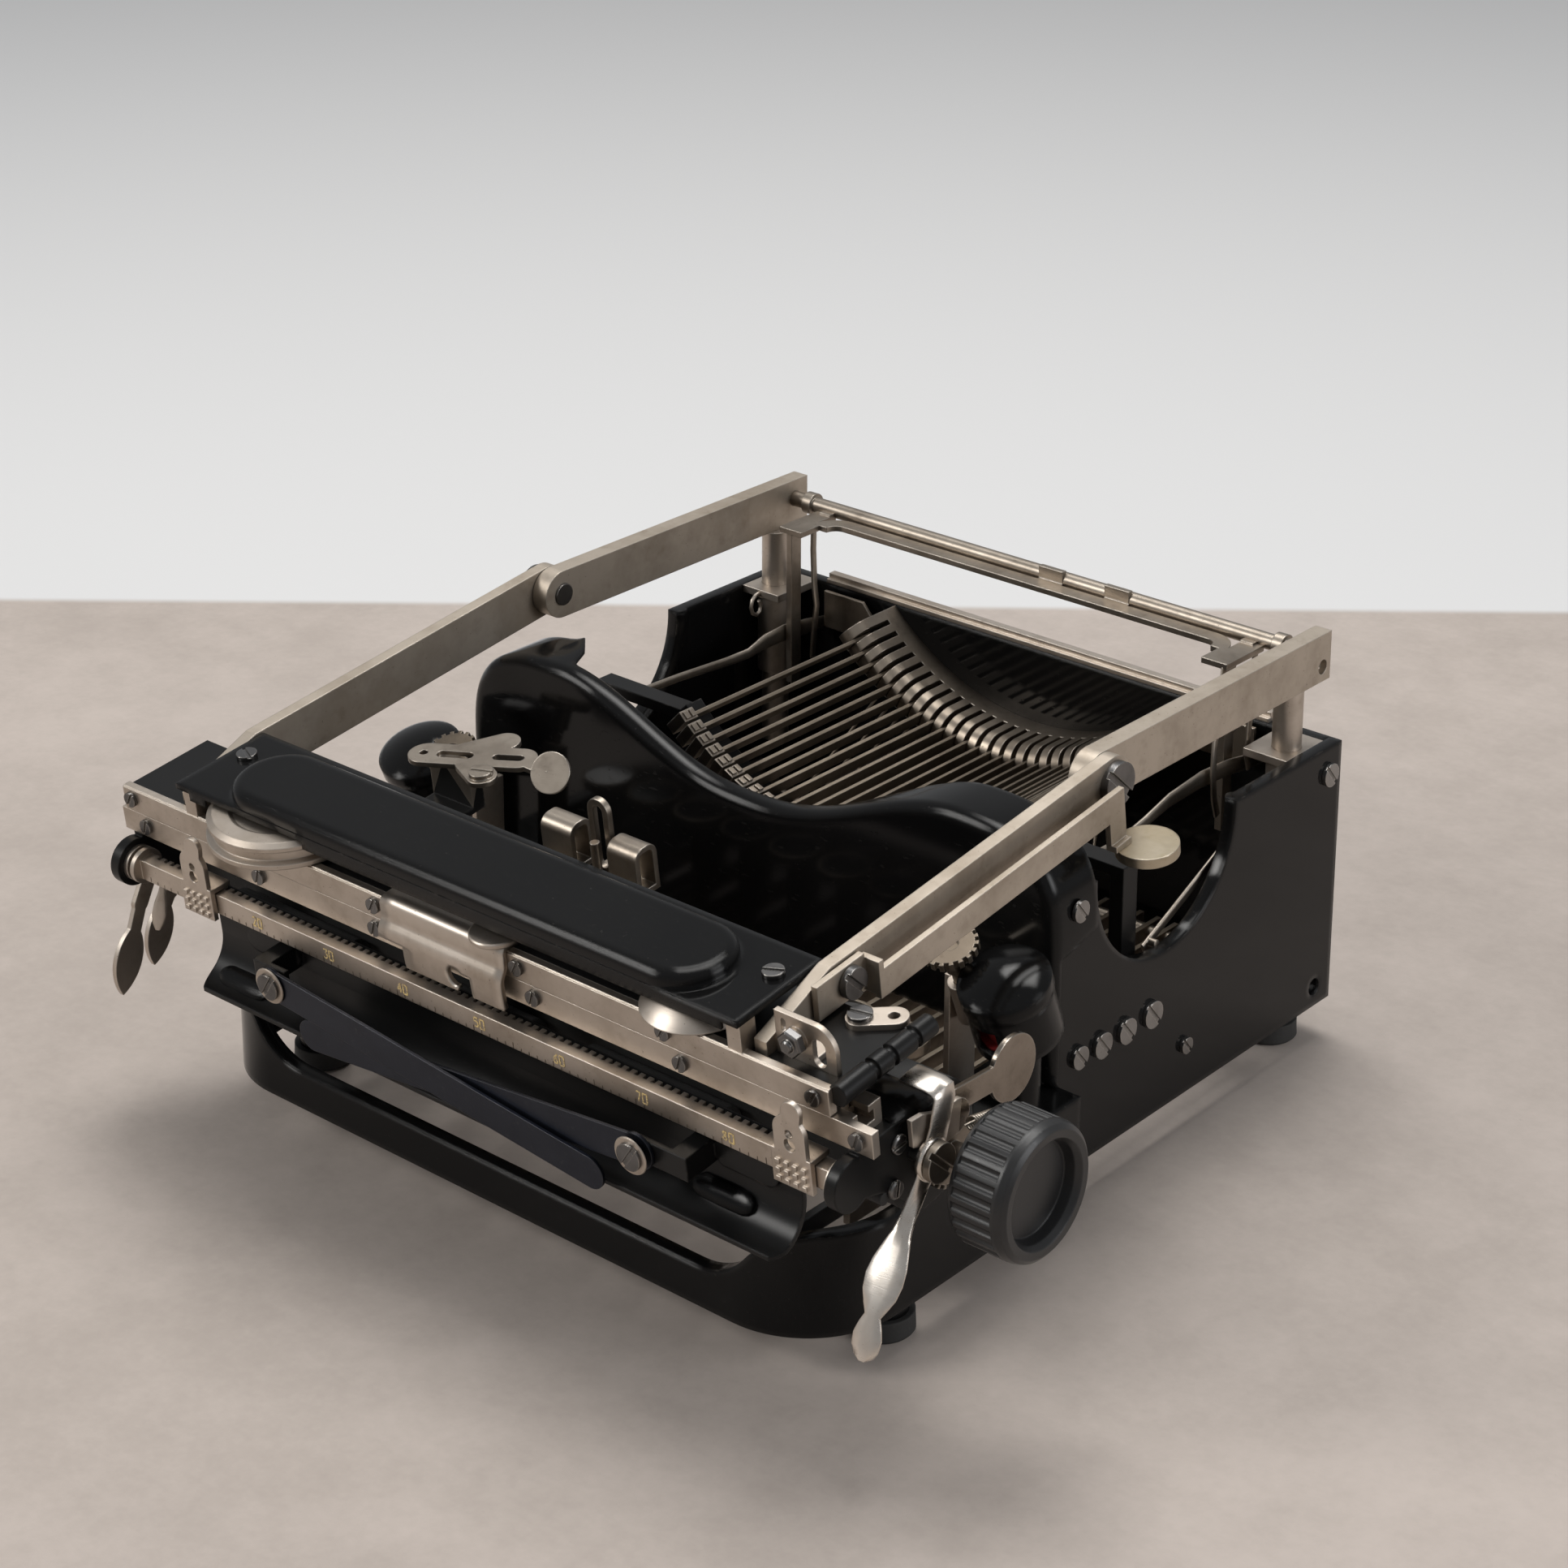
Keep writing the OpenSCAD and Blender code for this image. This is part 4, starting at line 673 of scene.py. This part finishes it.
# %% Outline of the shield
SHIELD_FRONT, SHIELD_BACK, EDGE_ROLL, SHEET = -24.9, -21.5, 3.0, 1.3
SHIELD_SIDE, SHIELD_FOOT = 97.6, 36.4
SHOULDER_X, SHOULDER_Z, SHOULDER_WIDE, SHOULDER_TALL = 67, 73, 30.7, 27
DIP_Z, DIP_RISE = 82.6, 17.4
ROUNDNESS = 2 / 2.8
EAR_X, EAR_TALL = -70, 1.6


def blend_01(value, low, high):
    """0 below low, 1 above high, smooth between."""
    t = min(max((value - low) / (high - low), 0), 1)
    return t * t * (3 - 2 * t)


def shield_top(x):
    """Height of the rim between the shoulders."""
    swell = (1 - math.cos(math.pi * min(abs(x) / SHOULDER_X, 1))) / 2
    return DIP_Z + DIP_RISE * swell ** 1.2


def hood_depth(x, z):
    """Where the rear edge of the hood lies: deep at the shoulders, shallow in the dip."""
    if z < 70:
        return SHIELD_BACK
    left = 1 - blend_01(x, -70, -63)
    right = blend_01(x, 30, 62)
    return -19.5 + 12 * max(left, right)


half = [(SHIELD_SIDE, z) for z in (SHIELD_FOOT, 50, 64, 69.5)]
for k in range(25):
    angle = math.pi / 2 * k / 24
    half.append((SHOULDER_X + SHOULDER_WIDE * math.cos(angle) ** ROUNDNESS,
                 SHOULDER_Z + SHOULDER_TALL * math.sin(angle) ** ROUNDNESS))
rim = [(x, shield_top(x)) for x in range(64, -65, -2)]
mirrored = [(-x, z) for x, z in reversed(half)]
lower_edge = [(-88, SHIELD_FOOT), (-88, 44), (88, 44), (88, SHIELD_FOOT)]
outline = half + rim + mirrored + lower_edge
print("outline points", len(outline))

# %% Shell of the shield
count = len(outline)
miters = []
for i, (x, z) in enumerate(outline):
    before, after = outline[i - 1], outline[(i + 1) % count]
    n1 = Vector((z - before[1], before[0] - x)).normalized()
    n2 = Vector((after[1] - z, x - after[0])).normalized()
    miters.append((n1 + n2) / max(1 + n1.dot(n2), 0.35))


def shield_loop(inset, depth_of):
    """One loop of the shell: the outline moved in by inset, at a depth set by the place."""
    loop = []
    for (x, z), n in zip(outline, miters):
        step = inset if z > 45 else min(inset, 2.2)
        ear = EAR_TALL * math.exp(-((x - EAR_X) / 3.5) ** 2) if z > 90 and inset < 2 else 0
        y = depth_of(x, z)
        lift = ear * blend_01(y, -16, -8)
        loop.append(base_point(x - n.x * step, y, z - n.y * step + lift))
    return loop


loops = [shield_loop(EDGE_ROLL + 0.5, lambda x, z: SHIELD_FRONT)]
for k in range(7):
    angle = math.pi / 2 * k / 6
    drop = EDGE_ROLL * (1 - math.cos(angle))
    loops.append(shield_loop(EDGE_ROLL * (1 - math.sin(angle)), lambda x, z: SHIELD_FRONT + drop))
loops.append(shield_loop(0, lambda x, z: hood_depth(x, z) - 0.4))
loops.append(shield_loop(0.3, hood_depth))
loops.append(shield_loop(SHEET - 0.3, hood_depth))
loops.append(shield_loop(SHEET, lambda x, z: hood_depth(x, z) - 0.4))
loops.append(shield_loop(SHEET + 0.2, lambda x, z: SHIELD_BACK - 0.5))
shell = Shape().rings(loops)
shield = add_piece("front_shield_shell", shell, LACQUER, "base")
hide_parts("front_shield")

# %% [markdown]
# ## Line-space lever
# This lever is one strip of nickelled steel. It hangs flat beside the end plate, twists a quarter turn
# below its pivot and ends in two finger leaves, one behind the other. A list of stations (place, width,
# twist) describes it, and one sweep makes the whole strip, so the twist shades as smoothly as the real
# one.

# %% Line-space lever
# x, u and w in mm, width in mm, twist in degrees
STATIONS = [
    (117.2, -105.9, -11.0, 7.0, 0), (124.6, -105.9, -11.0, 7.0, 0), (126.3, -105.9, -11.5, 7.0, 0),
    (126.9, -106.1, -13.2, 7.0, 0), (126.9, -108.6, -19.4, 6.6, 0), (126.9, -111.0, -23.8, 7.4, 0),
    (126.9, -113.0, -27.0, 6.8, 0), (126.9, -116.0, -29.9, 4.8, 8), (126.9, -118.6, -32.6, 3.9, 30),
    (126.9, -121.0, -35.1, 3.5, 58), (126.9, -123.4, -37.6, 4.6, 80), (126.9, -125.6, -40.0, 6.8, 86),
    (126.9, -128.0, -42.7, 8.8, 86), (126.9, -130.2, -45.2, 9.5, 86), (126.9, -132.2, -47.8, 8.5, 86),
    (126.9, -133.8, -50.0, 6.0, 86), (126.9, -134.8, -51.6, 4.0, 86), (126.9, -135.8, -53.4, 5.8, 86),
    (126.9, -137.0, -55.6, 7.3, 86), (126.9, -138.2, -57.8, 6.9, 86), (126.9, -139.0, -59.4, 4.9, 86),
    (126.9, -139.4, -60.3, 1.8, 86),
]
path, widths, ways = [], [], []
for x, u, w, wide, twist in STATIONS:
    path.append(arm_point(x, u, w))
    widths.append(wide * MM)
    turned_by = math.radians(twist)
    flat_way = (lean if w > -20 else lean - rise * 0.9).normalized()
    ways.append(flat_way * math.cos(turned_by) + sideways * math.sin(turned_by))
lever = Shape().strap(path, ways, widths, 1.3 * MM)
boss = [(2.1, 0.0), (4.6, 0.0), (4.9, 0.3), (4.9, 1.5), (4.6, 1.8), (2.1, 1.8)]
lever.turned(boss, arm_point(126.0, -112, -25.5), sideways)
strip = add_piece("line_space_strip", lever, NICKEL_BRIGHT, "line_space", 50)
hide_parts("line_space_lever")

# %% [markdown]
# ## Levers beside the type basket
# A flat lever runs along each side of the basket, from the rest under the types to the rear plate, with
# a widened and raised rear end. Thin hangers drop from the bar above, and a slanting link crosses the
# round window in the right wall. All are strips, so they share the strap sweep. A wire hook hangs at the
# left.

# %% Basket levers and hangers
BASKET_SIDE, LINK_X = 76.2, 90.6
levers = Shape()
# y, z and height of the strip
left_line = [(21, 75.6, 2.4), (34, 75.0, 2.4), (54, 73.4, 2.6), (63, 73.0, 3.0), (70, 74.4, 4.4),
             (78, 74.6, 5.0), (88, 73.6, 4.6), (94, 73.0, 3.6), (96.9, 72.8, 3.0)]
right_line = [(21, 74.6, 2.6), (31, 74.2, 2.8), (42, 76.2, 3.0), (52, 78.4, 3.8), (66, 79.2, 4.6),
              (78, 78.4, 4.6), (90, 76.4, 4.0), (96.9, 75.6, 3.0)]
for x, line in ((-BASKET_SIDE, left_line), (BASKET_SIDE, right_line)):
    spots = [base_point(x, y, z) for y, z, h in line]
    levers.strap(spots, upright, [h * MM for y, z, h in line], 1.1 * MM)
link_line = ((21.5, 53.5), (40, 61.6), (58, 69.6), (63, 72.6), (66, 76.5))
levers.strap([base_point(LINK_X, y, z) for y, z in link_line], upright, 2.6 * MM, 0.9 * MM)
pin = [(0.6, 0), (1.1, 0.2), (1.1, 2.6), (0.6, 2.8)]
for y, z in ((63, 72.6), (24, 54.6)):
    levers.turned(pin, base_point(LINK_X - 0.2, y, z), sideways, 16)
add_piece("basket_levers", levers, NICKEL_DARK, "base", 50)

hangers = Shape()
drop_left = [(-73.4, 88.0, 106.2), (-73.2, 87.6, 98), (-72.4, 87.2, 88), (-71.0, 86.6, 82),
             (-71.6, 86.2, 74), (-72, 86, 66)]
drop_right = [(74.6, 77.2, 106.2), (76.4, 72.5, 96), (77.9, 69.2, 88), (78.2, 68.4, 80),
              (78.2, 69.4, 73), (78.2, 71, 68)]
drop_rear = [(75.2, 90.4, 106.2), (77.0, 87.4, 96), (78.0, 84.6, 88), (78.2, 83.6, 81),
             (78.2, 85.2, 76.4)]
for line in (drop_left, drop_right, drop_rear):
    hangers.strap([base_point(*spot) for spot in line], Vector((0, 1, 0)), 2.2 * MM, 0.9 * MM)
head = [(1.0, 0), (2.3, 0), (2.3, 1.2), (1.9, 1.7), (0.4, 1.8)]
hangers.turned(head, base_point(75, 80, 90), sideways, 24)
add_piece("bar_hangers", hangers, NICKEL_DARK, "shift_frame", 50)

hook_line = ((79.9, 83.4), (78.4, 83.2), (76.9, 82.0), (76.4, 80.0), (77.0, 78.0), (78.6, 77.0),
             (80.2, 77.8), (80.6, 79.6), (79.8, 81.2))
hook = Shape().wire([base_point(-87, y, z) for y, z in hook_line], 0.6 * MM, 8)
add_piece("spring_hook", hook, NICKEL, "base", 60)

# %% [markdown]
# ## Washers and scale marks
# The screws of the paper arms sit on broad plated washers, and the scale has a fine line for every
# letter. A washer is a turned ring; the lines are hair-thin straps laid on the bar.

# %% Washers and letter marks
ARM_SCREWS = (-51, 67)
LINES, LINES_LEFT, LINES_FACE, LINES_LOW = 86, -104, -133.64, -24.9
ring = [(3.42, 0.0), (4.5, 0.0), (4.75, 0.15), (4.6, 0.45), (3.42, 0.5)]
washers = Shape()
for x in ARM_SCREWS:
    washers.turned(ring, arm_point(x, -142.42, -30.6), -lean, 40)
add_piece("arm_washers", washers, NICKEL, "carriage")
lines = Shape()
for i in range(LINES):
    x = LINES_LEFT + i * LETTER
    tall = 1.5 if i % 5 == 0 else 0.9
    ends = [arm_point(x, LINES_FACE, LINES_LOW), arm_point(x, LINES_FACE, LINES_LOW + tall)]
    lines.strap(ends, sideways, 0.24 * MM, 0.06 * MM)
add_piece("letter_marks", lines, BAR_STEEL, "carriage")

# %% [markdown]
# ## Small hardware of the carriage ends
# Slotted screws are a disc with two half discs on it, so that the slot is real and catches a shadow.
# The right end plate is bent over at the top into a small black shelf, a hexagon nut holds the window
# bracket, a short finger leaf hangs from the left end, and two pressed clips lie in the paper trough.

# %% Slotted heads, shelf and nut
def slotted_head(shape, centre, axis, radius, height, turn):
    """A screw head, in mm: axis points out of the surface, turn sets the slot."""
    axis = axis.normalized()
    first = axis.orthogonal().normalized()
    side = first * math.cos(turn) + axis.cross(first) * math.sin(turn)
    other = axis.cross(side)
    shape.turned([(radius * 0.98, 0), (radius * 0.98, height * 0.45)], centre, axis, 28)
    gap = radius * 0.17
    reach = math.acos(gap / radius)
    for way in (1, -1):
        rows = []
        for h, shrink in ((0.3, 1), (0.75, 1), (1, 0.84)):
            row = []
            for k in range(15):
                a = reach * (k / 7 - 1)
                across_slot = max(math.cos(a) * radius * shrink, gap)
                along_slot = math.sin(a) * radius * shrink
                spread = (side * across_slot + other * along_slot) * way
                row.append(centre + (axis * height * h + spread) * MM)
            rows.append(row)
        shape.rings(rows)


heads = Shape()
slotted_head(heads, arm_point(122, -116.8, -20.6), sideways, 2.3, 1.1, 0.9)
slotted_head(heads, arm_point(122, -119.4, -30.6), sideways, 2.2, 1.4, 2.2)
add_piece("end_plate_screws", heads, SCREW_STEEL, "carriage", 30)

shelf_line = ((108.6, -15.2), (119.2, -15.2), (121.2, -15.7), (121.9, -17.4))
shelf = Shape().strap([arm_point(x, -110.8, w) for x, w in shelf_line], lean, 12.8 * MM, 0.9 * MM)
add_piece("end_shelf", shelf, LACQUER, "carriage", 50)

nut_place = arm_point(102.9, -125.2, 2.9)
nut = Shape().turned([(3.3, 0), (3.3, 1.7), (2.9, 2.1)], nut_place, -lean, 6)
nut.turned([(1.5, 1.9), (1.5, 2.7), (1.1, 3.1)], nut_place, -lean, 20)
add_piece("bracket_nut", nut, SCREW_STEEL, "carriage_frame", 30)

# x, u, w and width
leaf_line = [(-112.4, -125.2, -26.4, 2.4), (-110.6, -125.6, -28.6, 2.0), (-110.0, -126.2, -31.2, 1.3),
             (-110.0, -127.0, -33.4, 1.8), (-110.0, -128.0, -36.0, 3.0), (-110.0, -129.0, -38.8, 3.6),
             (-110.0, -129.7, -41.0, 3.0), (-110.0, -130.2, -42.8, 1.2)]
small_leaf = Shape().strap([arm_point(x, u, w) for x, u, w, wide in leaf_line], Vector((0.8, 0.6, 0)),
                           [wide * MM for x, u, w, wide in leaf_line], 0.9 * MM)
add_piece("end_leaf", small_leaf, NICKEL, "carriage", 50)

# %% Pressed clips in the trough
# step along the clip and its width there
CLIP = [(0, 2.2), (0.9, 4.2), (2.4, 5.2), (9, 5.4), (14.6, 5.2), (16.1, 4.2), (17, 2.2)]
clip_widths = [wide * MM for step, wide in CLIP]
clips = Shape()
for x, u, w, way in ((75.5, -132.4, -40.0, (0, 0.51, 0.86)), (-80, -134.5, -42.0, (0, 0.74, 0.67))):
    clips.strap([arm_point(x + step, u, w) for step, wide in CLIP], Vector(way), clip_widths, 1.6 * MM)
add_piece("trough_clips", clips, LACQUER, "carriage", 50)

# %% [markdown]
# ## The pressed centre bracket
# The bracket in the middle of the rail is bent from one sheet with soft bends, and a hook is cut out of
# its lower half. A grid over the sheet is the easy way: rows follow the bent profile, columns run
# across, cells inside the hook are left out, and points near its round end are pulled onto the circle.
# A Solidify modifier then gives the sheet its thickness. A round stop disc sits on its flat top.

# %% Centre bracket
HOOK_X, HOOK_W, HOOK_R, SLOT_TOP = 5, -13.2, 2.8, -11.6
profile = [(-125.5, -1.9), (-129.0, -1.9), (-129.8, -2.1), (-130.2, -2.8), (-130.2, -5.6),
           (-130.3, -6.6), (-130.7, -7.4), (-131.3, -8.2), (-131.7, -9.0), (-131.9, -10.0)]
profile += [(-131.9 + 0.35 * (k / 14) ** 3, -10.0 - 0.49 * k) for k in range(1, 15)]
columns = [-20, -16, -12, -8, -4, 0, 1.4] + [2 + 0.5 * k for k in range(17)] + [11, 14, 17, 20]


def in_hook(x, w):
    """Inside the hook-shaped cut or the notch at the left corner."""
    round_end = (x - HOOK_X) ** 2 + (w - HOOK_W) ** 2 < HOOK_R ** 2
    slot = HOOK_X < x < 10 and w < SLOT_TOP
    return round_end or slot or (x < -12 and w < -11)


sheet = Shape()
for u, w in profile:
    for x in columns:
        dx, dw = x - HOOK_X, w - HOOK_W
        far = math.hypot(dx, dw)
        near_circle = abs(far - HOOK_R) < 0.36 and (dx < 0 or w > SLOT_TOP)
        if near_circle:
            spot = arm_point(HOOK_X + dx * HOOK_R / far, u, HOOK_W + dw * HOOK_R / far)
        else:
            spot = arm_point(x, u, w)
        sheet.points.append(tuple(spot))
row = len(columns)
for i in range(len(profile) - 1):
    for j in range(row - 1):
        if in_hook((columns[j] + columns[j + 1]) / 2, (profile[i][1] + profile[i + 1][1]) / 2):
            continue
        k = i * row + j
        sheet.faces.append((k, k + 1, k + row + 1, k + row))
disc = Shape().turned([(6.2, 0), (6.5, 0.3), (6.5, 1.1), (6.2, 1.4)], arm_point(15, -127, -1.1), rise, 40)
bracket = add_piece("pressed_bracket", sheet, NICKEL, "carriage_frame", 50)
thicken = bracket.modifiers.new("sheet", "SOLIDIFY")
thicken.thickness, thicken.offset = 1.5 * MM, 0
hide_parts("centre_bracket")
add_piece("stop_disc", disc, NICKEL, "carriage_frame", 40)

# %% [markdown]
# ## The floor's finish
# The floor is plain and pale, a warm grey with a faint cloud and a little grit so that it doesn't look
# like paper. Behind the machine it turns white, as a studio sweep does.

# %% Floor finish
SWEEP_FROM, SWEEP_TO = 0.335, 0.341
plain = Finish("pale_floor")
cloud = plain.noise(7, 5, 0.65) * 0.5 + plain.noise(45, 5, 0.7) * 0.35 + plain.noise(320, 3, 0.6) * 0.15
grit = plain.ramp(plain.noise(260, 4, 0.7), 0.66, 0.74) * plain.ramp(plain.noise(16, 3, 0.6), 0.45, 0.65)
depth = plain.dot(plain.at(), (-math.sin(YAW), math.cos(YAW), 0))
sweep = plain.ramp(depth, SWEEP_FROM, SWEEP_TO)
warm = plain.mix(plain.ramp(cloud, 0.3, 0.7), rgb(0.37, 0.322, 0.288), rgb(0.48, 0.42, 0.38))
warm = plain.mix(grit * 0.25, warm, rgb(0.24, 0.205, 0.18))
floor_mesh.materials.append(plain.done(
    Base_Color=plain.mix(sweep, warm, rgb(0.62, 0.62, 0.622)), Roughness=0.75 + cloud * 0.1))
print("floor done")
